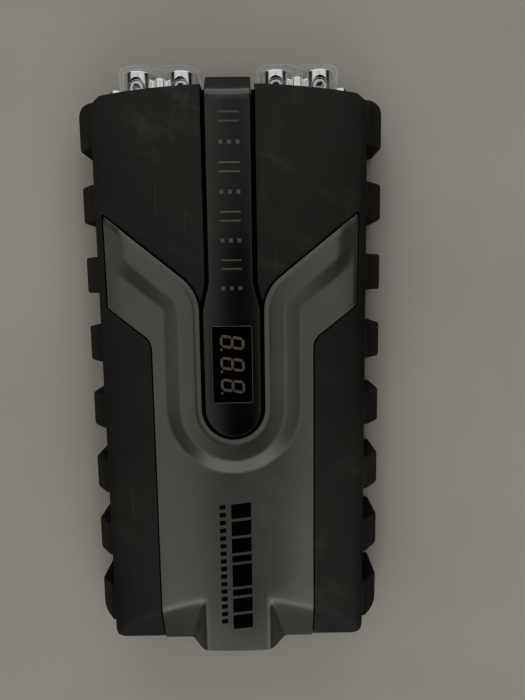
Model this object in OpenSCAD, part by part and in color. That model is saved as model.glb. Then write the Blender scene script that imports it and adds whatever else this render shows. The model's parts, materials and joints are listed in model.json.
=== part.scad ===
// Car audio power capacitor with a digital voltmeter and two twin-barrel power terminals.
// Millimetres. The origin is the centre of the flat underside, +Z is up, +Y points to the
// terminals and the case is symmetric about X = 0.

/* [Case] */
// Width over the plain side walls
case_w = 159; // [158:0.5:160]
// Length of the case, from the tail wall to the straight front of the base
case_l = 330.8; // [330:0.2:331.6]
// Height of the seam between the base and the top cover
seam_z = 38; // [37:0.5:38.5]
// Wall thickness of the base and the top cover
wall = 2.6; // [2.4:0.1:3]
// Radius of the crown across the top cover
crown_r = 256; // [250:1:264]
// Height of the crown on the centre line
crown_z = 58; // [57.6:0.1:58.4]

/* [Side ribs] */
// Number of ribs along each side
rib_count = 8; // [6:1:8]
// Distance from one rib to the next
rib_pitch = 42.2; // [42:0.1:42.4]
// Length of a rib
rib_l = 21.4; // [18:0.2:24]
// How far a rib stands out of the side wall
rib_out = 12; // [8:0.5:12]

/* [Trim panel and spine] */
// Half the width of the tail of the trim panel
trim_half = 47.4; // [46.5:0.1:48]
// Half the width of the slot that the trim leaves round the spine
slot_half = 18.2; // [18:0.1:18.6]
// Height of the raised ridge of the trim panel
ridge_h = 2; // [1:0.1:2.2]
// Half the width of the narrow part of the spine
spine_half = 12.6; // [12:0.1:13]
// Half the width of the display end of the spine
pod_half = 15.6; // [15.2:0.1:15.8]
// Height of the spine above the underside
spine_z = 61.6; // [61.2:0.1:62]

/* [Terminals] */
// Distance between the two cable bores of one terminal
bore_pitch = 25; // [24:0.5:26]
// Distance of a terminal from the centre line
terminal_x = 39.5; // [39:0.1:40]
// Radius of a cable bore, for 1/0 AWG cable
bore_r = 5.25; // [4:0.05:5.4]
// Radius of the set screw's hole
set_hole_r = 4; // [3.8:0.05:4.1]

/* [Cells] */
// Radius of a cell with its sleeve
cell_r = 22.5; // [21:0.1:22.6]
// Length of a cell's can
cell_l = 80; // [76:0.5:80]

/* [Hidden] */

$fn = 48;
arc_n = 6;

// Case
half_w = case_w / 2;
front_y = 157.4;
tail_y = front_y - case_l;
lid_bow = 3;
floor_t = 3;
chamfer_z = 44;
chamfer_slope = 0.41;
far = 220;
boss_r = 4.5;
boss_x = 71.5;
boss_ys = [-158, -62, 24, 124];
case_pilot_r = 1.8;
case_head_r = 3.4;
case_head_z = 3.4;
lip_z = 48;

// Ribs: each is flat outside up to rib_flat_z, then slopes in to the seam
rib_flat_z = 26;
rib_first_y = 132.2;
rib_skin = 2.2;
rib_top_in = 2.5;
end_grow = [4, 3];
end_round = [5, 7];
side_round = 1.6;

// Trim panel
trim_up = 0.85;
trim_low_z = 40;
trim_down = 1.2;
trim_gap = 0.3;
wing_tip = [74.5, 92.7];
wing_low = [74, 38.9];
elbow_y = 48;
elbow_r = 24.8;
knee_y = 19.2;
knee_r = 10;
pod_y = -20;
ridge_w = 12.3;
ridge_step = 3.1;
ridge_steps = 4;
ridge_end_x = 64;
tongue_half = 18.5;
tongue_foot = 34;
tongue_y = -141;
peg_r = 1.5;
peg_out = 1;
peg_spots = [[60, 60], [42, -60], [42, -125]];

// Spine and display
channel_z = 49;
channel_t = 2;
neck_y = 53;
pod_start_y = 37;
spine_slot_half = 15.1;
spine_crown_r = 150;
spine_wall = 2.2;
nose_y = 166;
nose_z = 24;
nose_top_y = 154.6;
spine_post_ys = [44, 95, 140];
window = [22, 43.5];
window_y = 6;
lens_t = 1.4;
lens_z = 59.7;
lens_gap = 0.1;
module_size = [19, 38, 8];
module_z = 51;
digit_pitch = 12.7;
digit_h = 14.2;
digit_w = 7.6;
seg_t = 1.7;
seg_gap = 0.35;
slant = 8;
dboard = [24, 56, 1.6];
dboard_screw_ys = [-18.5, 30.5];

// Terminals
lobe_r = 9;
lobe_z = 36;
lobe_drop = 3;
bore_z = 33.5;
bore_back_y = 152;
block_front_y = 172.5;
block_back_y = 157.3;
set_y = 163;
set_len = 5.4;
set_z = 38.9;
set_clear = 0.05;
sink_r = 6;
neck_in = 1;
neck_top_z = 40.2;
bead_r = 4.2;
bead_z = 38;
sink_h = 2;
panel_t = 3;
panel_y = 154.2;
panel_half = 75.4;
mouth_half = 74;
panel_screw = [64, 42.5];
cover_front_y = 174.25;
cover_gap = 0.4;
cover_wall = 2;
cover_back_y = 157.5;
tang_z = 27;
tang_t = 6;
busbar_t = 3;
tang_bolt_ys = [134, 144];
lobes = [-bore_pitch / 2, bore_pitch / 2];
washer = [4.6, 0.95];
panel_head = [3.8, 3.4];
slot_floor_half = spine_slot_half + channel_t + 0.3;

// Cells: two columns of three, joined end to end
cell_x = 38;
cell_z = 27.5;
cell_pitch = cell_l + 9;
cell_y0 = -110;
can_r = cell_r - 0.35;
boss_h = 3.5;
stud_r = 3;
link_t = 2;
cradle_t = 10;
cradle_half = 68;
cradle_split = 27.3;
clamp_mid_z = 42;
clamp_screw_xs = [-64.6, 0, 64.6];
board_ys = [-107, -24];
board_zs = [6, 40];
board_t = 1.6;
front_boss_y = cell_y0 + 2 * cell_pitch + cell_l / 2 + boss_h;
rear_boss_y = cell_y0 - cell_l / 2 - boss_h;
lead_x = [3.2, 9.2];

// ---------- outlines ----------

function unit(v) = v / norm(v);
function turned(v, a) = [v.x * cos(a) - v.y * sin(a), v.x * sin(a) + v.y * cos(a)];

// One corner p of an outline, between a and b, rounded to radius r
function corner(p, a, b, r) = r == 0 ? [p] :
    let (u = unit(a - p), v = unit(b - p), half = acos(u * v) / 2,
         c = p + unit(u + v) * r / sin(half), s = p + u * r / tan(half) - c,
         e = p + v * r / tan(half) - c, turn = sign(cross(s, e)) * (180 - 2 * half))
    [for (k = [0 : arc_n]) c + turned(s, turn * k / arc_n)];

// A closed outline of [x, y, radius] points with its corners rounded
function rounded(pts) = let (n = len(pts))
    [for (i = [0 : n - 1])
        let (p = pts[i], a = pts[(i + n - 1) % n], b = pts[(i + 1) % n])
        each corner([p.x, p.y], [a.x, a.y], [b.x, b.y], p[2])];

// A counter-clockwise outline moved outwards by g
function grown(pts, g) = let (n = len(pts))
    [for (i = [0 : n - 1])
        let (p = pts[i], d1 = unit(p - pts[(i + n - 1) % n]), d2 = unit(pts[(i + 1) % n] - p),
             n1 = [d1.y, -d1.x], n2 = [d2.y, -d2.x])
        p + (n1 + n2) * g / (1 + n1 * n2)];

function mirrored(pts) = [for (i = [len(pts) - 1 : -1 : 0]) [-pts[i].x, pts[i].y, pts[i][2]]];

base_pts = rounded([[half_w, front_y, 5], [-half_w, front_y, 5],
    [-half_w, tail_y, 7], [half_w, tail_y, 7]]);

// The top cover follows the base but its front edge bows out
lid_front = [for (k = [-5 : 5])
    let (x = -k * 14.6) [x, front_y + lid_bow - pow(x, 2) / 2400]];
lid_outline = concat(
    [for (p = base_pts) if (p.y < 0) p],
    [[half_w, 151], [half_w - 1.4, 154.8]], lid_front,
    [[-half_w + 1.4, 154.8], [-half_w, 151]]);

trim_half_pts = [[trim_half, tail_y - 20, 0], [trim_half, knee_y, knee_r],
    [wing_low.x, wing_low.y, 0], [wing_tip.x, wing_tip.y, 0],
    [slot_half, elbow_y, elbow_r], [slot_half, 0, 0]];
trim_pts = rounded(concat(trim_half_pts, mirrored(trim_half_pts)));

// The slot round the spine: straight, flaring to the rounded display end
function slot_outline(narrow, wide, end_y) = concat(
    [[narrow, neck_y], [narrow, end_y], [-narrow, end_y], [-narrow, neck_y]],
    [[-wide, pod_start_y]],
    [for (a = [180 : 7.5 : 360]) [wide * cos(a), pod_y + wide * sin(a)]],
    [[wide, pod_start_y]]);
slot_pts = slot_outline(spine_slot_half, slot_half, far);
spine_pts = slot_outline(spine_half, pod_half, nose_y);

wing_dir = unit(wing_tip - [slot_half, elbow_y]);
wing_down = [wing_dir.y, -wing_dir.x];

// Outline of the raised ridge, out to the distance w from the trim's inner edge
function ridge_pts(w) =
    let (half_turn = (90 - atan2(wing_dir.y, wing_dir.x)) / 2,
         reach = (ridge_end_x - slot_half) / wing_dir.x,
         top = [slot_half, elbow_y] + wing_dir * reach,
         low = [slot_half, elbow_y] + wing_down * w + wing_dir * (reach - w * wing_down.x / wing_dir.x),
         side = [[slot_half + w, elbow_y - w * tan(half_turn), elbow_r - w],
             [low.x, low.y, 0], [top.x, top.y, 0],
             [slot_half, elbow_y, elbow_r], [slot_half, 0, 0]])
    rounded(concat([for (a = [180 : 7.5 : 360])
        [(slot_half + w) * cos(a), pod_y + (slot_half + w) * sin(a), 0]], side, mirrored(side)));

// Height of the crown at the distance x from the centre line
function crown_at(x) = crown_z - crown_r + sqrt(pow(crown_r, 2) - pow(x, 2));

// ---------- shapes shared by several pieces ----------

// Everything below the crown, raised by up
module crown(up) {
    translate([0, 0, crown_z - crown_r]) rotate([90, 0, 0])
        cylinder(r = crown_r + up, h = 2 * far, center = true, $fn = 720);
}

// Extrudes a [y, z] outline along X, centred
module along_x(pts, w) {
    translate([-w / 2, 0, 0]) rotate([90, 0, 90]) linear_extrude(w) polygon(pts);
}

// Extrudes an [x, z] outline along Y, from y0 to y1
module along_y(pts, y0, y1) {
    translate([0, y1, 0]) rotate([90, 0, 0]) linear_extrude(y1 - y0) polygon(pts);
}

// The top cover's envelope moved in by d: crown, side bevels and tail chamfer
module envelope(d) {
    drop = d * sqrt(1 + pow(chamfer_slope, 2));
    top = 80;
    intersection() {
        translate([0, 0, seam_z - 1]) linear_extrude(top - seam_z) polygon(grown(lid_outline, -d));
        crown(-d);
        along_x([[tail_y + d, 0], [far, 0], [far, top],
            [tail_y + (top - chamfer_z + drop) / chamfer_slope, top],
            [tail_y + d, chamfer_z + chamfer_slope * d - drop]], 200);
        along_y([[-half_w + d, 0], [half_w - d, 0], [half_w - d, 43.2],
            [half_w - d - 21, 70], [-half_w + d + 21, 70], [-half_w + d, 43.2]], -far, far);
    }
}

module at_bosses() {
    for (side = [-1, 1]) {
        for (y = boss_ys) translate([side * boss_x, y, 0]) children();
    }
}

// Screw along +Z: head below z = 0, shank above
module screw(shank_r, shank_l, head_r, head_h, key_r) {
    difference() {
        union() {
            translate([0, 0, -head_h]) cylinder(r = head_r, h = head_h);
            translate([0, 0, -0.01]) cylinder(r = shank_r, h = shank_l);
        }
        translate([0, 0, -head_h - 0.01]) cylinder(r = key_r, h = head_h * 0.6, $fn = 6);
    }
}

// ---------- case ----------

// One side rib as a solid; inset shrinks it for the hollow inside
module rib(y0, y1, r0, r1, inset) {
    root = inset > 0 ? half_w - wall - 1 : half_w - 0.5;
    out = half_w + rib_out - inset;
    low = inset > 0 ? floor_t : 0;
    top = seam_z - inset;
    intersection() {
        along_y([[root, low], [out, low], [out, rib_flat_z - inset * 0.5],
            [half_w + rib_top_in - inset, top], [root, top]], y0 + inset, y1 - inset);
        linear_extrude(seam_z + 1) polygon(rounded([[root, y0 + inset, 0],
            [out, y0 + inset, r0], [out, y1 - inset, r1], [root, y1 - inset, 0]]));
    }
}

module ribs(inset) {
    for (k = [0 : rib_count - 1]) {
        first = k == 0;
        last = k == rib_count - 1;
        y0 = rib_first_y - k * rib_pitch - (last ? end_grow[1] : 0);
        y1 = rib_first_y - k * rib_pitch + rib_l + (first ? end_grow[0] : 0);
        rib(y0, y1, last ? end_round[1] : side_round, first ? end_round[0] : side_round, inset);
    }
}

module base_shell() color([0.13, 0.13, 0.12]) {
    difference() {
        union() {
            linear_extrude(seam_z) polygon(base_pts);
            ribs(0);
            mirror([1, 0, 0]) ribs(0);
        }
        difference() {
            translate([0, 0, floor_t]) linear_extrude(seam_z) polygon(grown(base_pts, -wall));
            at_bosses() cylinder(r = boss_r, h = seam_z);
            // Pads under the two terminals' tangs, and the rib behind the terminal panel
            for (side = [-1, 1]) {
                translate([side * terminal_x - 9.5, 128, 0])
                    cube([19, 22, tang_z - busbar_t]);
            }
            translate([-half_w, panel_y - 3.3, 0]) cube([case_w, 3.2, 6]);
        }
        ribs(rib_skin);
        mirror([1, 0, 0]) ribs(rib_skin);
        // The front is open above the floor for the terminal panel
        translate([-panel_half - 0.1, panel_y, floor_t]) cube([2 * panel_half + 0.2, 10, seam_z]);
        at_bosses() translate([0, 0, -1]) cylinder(r = case_pilot_r + 0.1, h = far);
        at_bosses() translate([0, 0, -1]) cylinder(r = case_head_r + 0.3, h = case_head_z + 1);
        for (side = [-1, 1]) {
            for (y = tang_bolt_ys) {
                translate([side * terminal_x, y, 10]) cylinder(r = 2.55, h = 20);
            }
        }
    }
}

module top_cover() color([0.14, 0.14, 0.13]) {
    difference() {
        union() {
            difference() {
                envelope(0);
                envelope(wall);
            }
            intersection() {
                envelope(0.4);
                union() {
                    translate([0, 0, channel_z - channel_t]) linear_extrude(20)
                        polygon(grown(slot_pts, channel_t));
                    at_bosses() translate([0, 0, seam_z]) cylinder(r = boss_r, h = 20);
                    for (side = [-1, 1]) {
                        translate([side * panel_screw.x - 6, 145, seam_z + 0.2]) cube([12, 9, 20]);
                    }
                }
            }
        }
        translate([0, 0, -far + seam_z]) cube([far * 2, far * 2, far * 2], center = true);
        translate([0, 0, channel_z]) linear_extrude(20) polygon(slot_pts);
        // Recess that the trim panel sits in
        difference() {
            translate([0, 0, 30]) linear_extrude(40) polygon(grown(trim_pts, trim_gap));
            envelope(trim_down + 0.05);
            translate([-far, -far, 0]) cube([2 * far, 2 * far, trim_low_z - 0.2]);
        }
        // Mouth over the terminals
        translate([-mouth_half, panel_y - 0.1, 0]) cube([2 * mouth_half, 20, lip_z]);
        // Way through the channel's floor for the nose of the spine
        translate([-spine_half - 0.3, front_y - 0.5, 0])
            cube([2 * spine_half + 0.6, 10, channel_z + 1]);
        for (side = [-1, 1]) {
            for (p = peg_spots) {
                translate([side * p.x, p.y, 30]) cylinder(r = peg_r + 0.1, h = 40);
            }
            translate([side * panel_screw.x, 146.5, panel_screw.y]) rotate([-90, 0, 0])
                cylinder(r = 2.05, h = 12);
        }
        at_bosses() translate([0, 0, seam_z - 1]) cylinder(r = case_pilot_r + 0.05, h = 6.5);
        for (y = spine_post_ys) translate([0, y, 40]) cylinder(r = 1.6, h = 12);
        translate([lead_x[0] - 0.5, -15.5, 40]) cube([lead_x[1] - lead_x[0] + 1, 3, 12]);
    }
}

// Tongue at the tail: a prism along Y with S-shaped flanks, shrunk by inset
module tongue(inset) {
    high = crown_z - 0.6 - inset;
    low = chamfer_z - 1 - inset;
    flank = [for (t = [0 : 0.125 : 1])
        [tongue_foot - inset + (tongue_half - tongue_foot) * t,
         low + (high - low) * (1 - cos(180 * t)) / 2]];
    top = inset > 0 ? high : crown_z + 10;
    foot = inset > 0 ? trim_low_z - 4 : trim_low_z;
    along_y(concat([[tongue_foot - inset, foot]], flank, [[tongue_half - inset, top]],
        [for (i = [0 : len(flank)]) i == 0 ? [inset - tongue_half, top]
            : [-flank[len(flank) - i].x, flank[len(flank) - i].y]],
        [[inset - tongue_foot, foot]]),
        tail_y - trim_up + inset, tongue_y + inset * 2);
}

module trim_panel() color([0.29, 0.29, 0.27]) {
    difference() {
        union() {
            intersection() {
                translate([0, 0, trim_low_z]) linear_extrude(40) polygon(trim_pts);
                envelope(-trim_up);
            }
            intersection() {
                tongue(0);
                crown(trim_up);
            }
            for (k = [0 : ridge_steps - 1]) {
                intersection() {
                    translate([0, 0, 45]) linear_extrude(30)
                        polygon(ridge_pts(ridge_w + k * ridge_step));
                    crown(trim_up + ridge_h * (1 - k / ridge_steps));
                }
            }
        }
        difference() {
            envelope(trim_down);
            for (side = [-1, 1]) {
                for (p = peg_spots) {
                    translate([side * p.x, p.y, crown_at(p.x) - wall - peg_out])
                        cylinder(r = peg_r, h = 20);
                }
            }
        }
        tongue(2);
        translate([0, 0, 30]) linear_extrude(50) polygon(slot_pts);
    }
}

// ---------- spine and display ----------

module spine() color([0.2, 0.2, 0.19]) {
    difference() {
        union() {
            difference() {
                intersection() {
                    translate([0, 0, nose_z]) linear_extrude(45) polygon(spine_pts);
                    translate([0, 0, spine_z - spine_crown_r]) rotate([90, 0, 0])
                        cylinder(r = spine_crown_r, h = 2 * far, center = true, $fn = 480);
                    along_x([[-60, channel_z], [front_y + 0.2, channel_z], [front_y + 0.2, nose_z],
                        [nose_y - 1.5, nose_z], [nose_y, channel_z], [nose_y - 0.8, channel_z + 3],
                        [nose_top_y, spine_z - 0.4], [nose_top_y - 4, 70], [-60, 70]], 60);
                }
                intersection() {
                    translate([0, 0, channel_z - 1]) linear_extrude(58.4 - channel_z + 1)
                        polygon(grown(spine_pts, -spine_wall));
                    translate([-30, -60, 0]) cube([60, 211, 80]);
                }
                translate([-11, front_y, nose_z + 2]) cube([22, 5.6, 20]);
            }
            for (y = spine_post_ys) {
                translate([0, y, channel_z]) cylinder(r = 3.2, h = 10);
            }
            for (y = dboard_screw_ys, side = [-1, 1]) {
                translate([side * 10.6, y, module_z + 0.05]) cylinder(r = 1.9, h = 8);
            }
        }
        translate([-window.x / 2 - lens_gap, window_y - window.y / 2 - lens_gap, lens_z])
            cube([window.x + 2 * lens_gap, window.y + 2 * lens_gap, 10]);
        translate([-module_size.x / 2 - 0.3, window_y - module_size.y / 2 - 0.4, 55])
            cube([module_size.x + 0.6, module_size.y + 0.8, 10]);
        for (y = spine_post_ys) translate([0, y, channel_z - 1]) cylinder(r = 1.25, h = 9);
        for (y = dboard_screw_ys, side = [-1, 1]) {
            translate([side * 10.6, y, module_z - 1]) cylinder(r = 0.85, h = 6);
        }
    }
}

module display_lens() color([0.25, 0.07, 0.07, 0.7]) {
    translate([-window.x / 2, window_y - window.y / 2, lens_z + 0.02])
        linear_extrude(lens_t) square(window);
}

module display_module() color([0.07, 0.07, 0.07]) {
    translate([-module_size.x / 2, window_y - module_size.y / 2, module_z]) cube(module_size);
}

function slanted(pts) = [for (p = pts) [p.x + (p.y - digit_h / 2) * tan(slant), p.y]];
function bar_x(c, l) = [[c.x - l / 2, c.y], [c.x - l / 2 + seg_t / 2, c.y - seg_t / 2],
    [c.x + l / 2 - seg_t / 2, c.y - seg_t / 2], [c.x + l / 2, c.y],
    [c.x + l / 2 - seg_t / 2, c.y + seg_t / 2], [c.x - l / 2 + seg_t / 2, c.y + seg_t / 2]];
function bar_y(c, l) = [for (p = bar_x([c.y, -c.x], l)) [-p.y, p.x]];

// Seven segments and a point, with the digit's foot on y = 0
module digit() {
    w = digit_w - seg_t;
    h = (digit_h - seg_t) / 2;
    bars = concat(
        [for (k = [0 : 2]) bar_x([0, seg_t / 2 + k * h], w - seg_gap)],
        [for (k = [0 : 1], side = [-1, 1])
            bar_y([side * w / 2, seg_t / 2 + (k + 0.5) * h], h - seg_gap)]);
    for (b = bars) linear_extrude(0.2) polygon(slanted(b));
    translate([digit_w / 2 + 0.4, seg_t / 2, 0]) cylinder(r = 0.85, h = 0.2, $fn = 24);
}

module display_segments() color([0.42, 0.4, 0.38]) {
    for (k = [-1 : 1]) {
        translate([-digit_h / 2, window_y - k * digit_pitch, module_z + module_size.z])
            rotate([0, 0, -90]) digit();
    }
}

module display_board() color([0.1, 0.28, 0.14]) {
    difference() {
        translate([-dboard.x / 2, window_y - dboard.y / 2, module_z - dboard.z]) cube(dboard);
        for (y = dboard_screw_ys, side = [-1, 1]) {
            translate([side * 10.6, y, 40]) cylinder(r = 0.95, h = 20, $fn = 24);
        }
    }
}

module display_screws() color([0.6, 0.6, 0.6]) {
    for (y = dboard_screw_ys, side = [-1, 1]) {
        translate([side * 10.6, y, module_z - dboard.z - 0.02]) screw(0.8, 5, 1.3, 0.35, 0.5, $fn = 24);
    }
}

// Flat lead from the balance board, over the middle clamp and up through the channel floor
module display_lead() color([0.5, 0.5, 0.52]) {
    up = 45.6;
    translate([(lead_x[0] + lead_x[1]) / 2, 0, 0])
        along_x([[-30.5, 40.05], [-29.5, 40.05], [-29.5, up - 1], [-13.5, up - 1],
            [-13.5, module_z - dboard.z - 0.05], [-14.5, module_z - dboard.z - 0.05],
            [-14.5, up], [-30.5, up]], lead_x[1] - lead_x[0]);
}

// ---------- electronics ----------

module balance_board() color([0.1, 0.28, 0.14]) {
    translate([-board_t / 2, board_ys[0], board_zs[0]])
        cube([board_t, board_ys[1] - board_ys[0], board_zs[1] - board_zs[0]]);
}

// Wire-wound balancing resistors, one for each cell, standing on the board
module balance_resistors() color([0.75, 0.72, 0.65]) {
    for (k = [0 : 5]) {
        translate([board_t / 2 + 0.05, -97 + 9 * k, 11]) cube([6, 6, 18]);
    }
}

module balance_capacitors() color([0.12, 0.12, 0.2]) {
    for (k = [0 : 2]) {
        translate([-board_t / 2 - 0.05, -92 + 14 * k, 26]) rotate([0, -90, 0]) cylinder(r = 5, h = 11);
    }
}

module board_connector() color([0.85, 0.83, 0.76]) {
    translate([board_t / 2 + 0.05, -34, 31]) cube([9, 8, 9]);
}

module buzzer() color([0.08, 0.08, 0.08]) {
    translate([-board_t / 2 - 0.05, -42, 24]) rotate([0, -90, 0]) difference() {
        cylinder(r = 6, h = 9);
        translate([0, 0, 6]) cylinder(r = 1, h = 5, $fn = 24);
    }
}

// ---------- cells ----------

// Centre of a cell: three up the left column, then three down the right one
function cell_pos(k) = [k < 3 ? -cell_x : cell_x,
    cell_y0 + cell_pitch * (k < 3 ? k : 5 - k), cell_z];

// Can with a rolled groove, a raised rim and a threaded boss at each end
module cell(k) color([0.78, 0.78, 0.8]) {
    h = cell_l / 2;
    profile = [[0, -h - boss_h], [7, -h - boss_h], [7, -h + 1], [can_r - 2, -h + 1],
        [can_r - 2, -h], [can_r, -h], [can_r, h - 7], [can_r - 1.2, h - 6], [can_r - 1.2, h - 5],
        [can_r, h - 4], [can_r, h], [can_r - 2, h], [can_r - 2, h - 1], [7, h - 1],
        [7, h + boss_h], [0, h + boss_h]];
    translate(cell_pos(k)) rotate([-90, 0, 0]) difference() {
        rotate_extrude($fn = 96) polygon(profile);
        translate([0, 0, -h + 3]) cylinder(r = can_r - 1.8, h = cell_l - 10, $fn = 96);
        for (side = [-1, 1]) {
            translate([0, 0, side * (h + boss_h - 2)]) cylinder(r = stud_r + 0.05, h = 5, center = true);
        }
    }
}

// Wound electrode roll on its hollow mandrel
module winding(k) color([0.2, 0.2, 0.2]) {
    translate(cell_pos(k)) rotate([-90, 0, 0]) translate([0, 0, 3.5 - cell_l / 2]) difference() {
        cylinder(r = can_r - 2, h = cell_l - 11, $fn = 96);
        translate([0, 0, -1]) cylinder(r = 2.5, h = cell_l);
    }
}

module sleeve(k) color([0.1, 0.16, 0.36]) {
    h = cell_l / 2 - 8;
    translate(cell_pos(k)) rotate([-90, 0, 0]) rotate_extrude($fn = 96)
        polygon([[can_r + 0.05, -h - 6], [cell_r, -h - 6], [cell_r, h], [can_r + 0.05, h]]);
}

module at_links() {
    for (side = [-1, 1], k = [0.5, 1.5]) {
        translate([side * cell_x, cell_y0 + k * cell_pitch, cell_z]) rotate([-90, 0, 0]) children();
    }
}

module inline_links() color([0.72, 0.45, 0.25]) {
    at_links() difference() {
        translate([-12, -12, -link_t / 2]) cube([24, 24, link_t]);
        cylinder(r = stud_r + 0.05, h = 10, center = true);
    }
}

module link_studs() color([0.6, 0.6, 0.62]) {
    at_links() cylinder(r = stud_r, h = 8, center = true);
}

module rear_link() color([0.72, 0.45, 0.25]) {
    difference() {
        translate([-cell_x - 10, rear_boss_y - busbar_t, cell_z - 9])
            cube([2 * cell_x + 20, busbar_t, 18]);
        for (side = [-1, 1]) {
            translate([side * cell_x, rear_boss_y, cell_z]) rotate([90, 0, 0])
                cylinder(r = stud_r + 0.05, h = 20, center = true);
        }
    }
}

// Bolts that hold the busbars and the rear link on the cells
module end_bolts() color([0.62, 0.62, 0.64]) {
    for (side = [-1, 1]) {
        translate([side * cell_x, rear_boss_y - busbar_t, cell_z]) rotate([-90, 0, 0])
            screw(stud_r, busbar_t + 3, 5, 4, 2.2);
        translate([side * cell_x, front_boss_y + busbar_t, cell_z]) rotate([90, 0, 0])
            screw(stud_r, busbar_t + 3, 5, 4, 2.2);
    }
}

// Angle from the front cell to the pad under the terminal's tang
module busbar() {
    difference() {
        union() {
            translate([terminal_x - 9.5, front_boss_y, tang_z - busbar_t])
                cube([19, 150 - front_boss_y, busbar_t]);
            translate([cell_x - 8, front_boss_y, tang_z - busbar_t - 4]) cube([16, busbar_t, 18]);
        }
        translate([cell_x, front_boss_y, cell_z]) rotate([90, 0, 0])
            cylinder(r = stud_r + 0.05, h = 20, center = true);
        translate([cell_x, front_boss_y + busbar_t, cell_z]) rotate([-90, 0, 0])
            cylinder(r = 5.4, h = 5);
        for (y = tang_bolt_ys) translate([terminal_x, y, 0]) cylinder(r = 2.55, h = 60);
    }
}

module positive_busbar() color([0.72, 0.45, 0.25]) busbar();
module negative_busbar() color([0.72, 0.45, 0.25]) mirror([1, 0, 0]) busbar();

module busbar_bolts() color([0.62, 0.62, 0.64]) {
    for (side = [-1, 1], y = tang_bolt_ys) {
        translate([side * terminal_x, y, tang_z + tang_t]) rotate([180, 0, 0])
            screw(2.5, 20, 4.2, 4, 2);
    }
}

module cradle(k) color([0.16, 0.16, 0.17]) {
    y = cell_y0 + k * cell_pitch;
    difference() {
        translate([-cradle_half, y - cradle_t / 2, floor_t])
            cube([2 * cradle_half, cradle_t, cradle_split - floor_t]);
        for (side = [-1, 1]) {
            translate([side * cell_x, y, cell_z]) rotate([90, 0, 0])
                cylinder(r = cell_r + 0.1, h = 20, center = true, $fn = 96);
        }
        cell_supports_cut(y);
    }
}

module clamp(k) color([0.16, 0.16, 0.17]) {
    y = cell_y0 + k * cell_pitch;
    half = [[cradle_half, cradle_split + 0.1], [cradle_half, clamp_mid_z], [60.5, clamp_mid_z],
        [52, 60], [20, 60], [15, clamp_mid_z]];
    outline = concat(half, [for (i = [len(half) - 1 : -1 : 0]) [-half[i].x, half[i].y]]);
    difference() {
        intersection() {
            along_y(outline, y - cradle_t / 2, y + cradle_t / 2);
            crown(-wall - 0.7);
        }
        for (side = [-1, 1]) {
            translate([side * cell_x, y, cell_z]) rotate([90, 0, 0])
                cylinder(r = cell_r + 0.1, h = 20, center = true, $fn = 96);
        }
        translate([0, 0, 46.5]) linear_extrude(20) polygon(grown(slot_pts, channel_t + 0.6));
        cell_supports_cut(y);
    }
}

// Screw holes and the slots for the balance board, cut from a cradle and its clamp
module cell_supports_cut(y) {
    for (x = clamp_screw_xs) translate([x, y, 12]) cylinder(r = 1.55, h = 60);
    translate([-board_t / 2 - 0.1, board_ys[0] - 0.2, board_zs[0] - 0.2])
        cube([board_t + 0.2, board_ys[1] - board_ys[0] + 0.4, board_zs[1] - board_zs[0] + 0.4]);
}

module clamp_screws() color([0.6, 0.6, 0.62]) {
    for (k = [0 : 2], x = clamp_screw_xs) {
        translate([x, cell_y0 + k * cell_pitch, clamp_mid_z]) rotate([180, 0, 0])
            screw(1.5, clamp_mid_z - 14, 2.6, 1.8, 1);
    }
}

// ---------- terminals ----------

module terminal_panel() color([0.12, 0.12, 0.12]) {
    difference() {
        intersection() {
            translate([-panel_half, panel_y, floor_t])
                cube([2 * panel_half, panel_t, lip_z - 0.1 - floor_t]);
            crown(-wall - 0.3);
        }
        translate([-slot_floor_half, 150, channel_z - channel_t - 0.2])
            cube([2 * slot_floor_half, 10, 10]);
        for (side = [-1, 1]) {
            translate([side * terminal_x - 18.7, 150, 26.8]) cube([37.4, 10, 13.4]);
            translate([side * panel_screw.x, 150, panel_screw.y]) rotate([-90, 0, 0])
                cylinder(r = 2.1, h = 10);
        }
        // Side steps clear the cover's walls
        for (side = [-1, 1]) {
            translate([side * (mouth_half + 9.8), 150, seam_z + 14.8]) cube([20, 20, 30], center = true);
        }
    }
}

module panel_screws() color([0.8, 0.8, 0.82]) {
    for (side = [-1, 1]) {
        translate([side * panel_screw.x, panel_y + panel_t, panel_screw.y]) {
            translate([0, washer[1] + 0.05, 0]) rotate([90, 0, 0])
                screw(2, 11, panel_head[0], panel_head[1], 1.9);
            rotate([-90, 0, 0]) difference() {
                cylinder(r = washer[0], h = washer[1]);
                translate([0, 0, -1]) cylinder(r = 2.05, h = 4);
            }
        }
    }
}

// Twin-barrel block: two rounded lobes joined by a neck, and a tang behind the panel
module terminal() {
    difference() {
        union() {
            for (x = lobes) {
                translate([x, block_front_y, 0]) rotate([90, 0, 0])
                    linear_extrude(block_front_y - block_back_y) union() {
                        translate([0, lobe_z]) circle(r = lobe_r, $fn = 96);
                        translate([0, lobe_z - lobe_drop]) circle(r = lobe_r, $fn = 96);
                        translate([-lobe_r, lobe_z - lobe_drop]) square([2 * lobe_r, lobe_drop]);
                    }
            }
            translate([-10, block_back_y, 28])
                cube([20, block_front_y - block_back_y - neck_in, neck_top_z - 28]);
            translate([0, block_front_y - neck_in + 0.4, bead_z]) rotate([90, 0, 0])
                cylinder(r = bead_r, h = block_front_y - block_back_y - neck_in + 0.4, $fn = 64);
            translate([-18.5, 150, tang_z]) cube([37, 7.4, 13]);
            translate([-9.5, 128, tang_z]) cube([19, 23, tang_t]);
        }
        for (x = lobes) {
            translate([x, bore_back_y, bore_z]) rotate([-90, 0, 0])
                cylinder(r = bore_r, h = 40, $fn = 96);
            translate([x, set_y, bore_z]) cylinder(r = set_hole_r, h = 20, $fn = 64);
            translate([x, set_y, lobe_z + lobe_r - sink_h])
                cylinder(r1 = set_hole_r, r2 = sink_r, h = sink_h + 0.02, $fn = 64);
        }
        for (y = tang_bolt_ys) translate([0, y, 0]) cylinder(r = 2.55, h = 60);
    }
}

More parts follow.
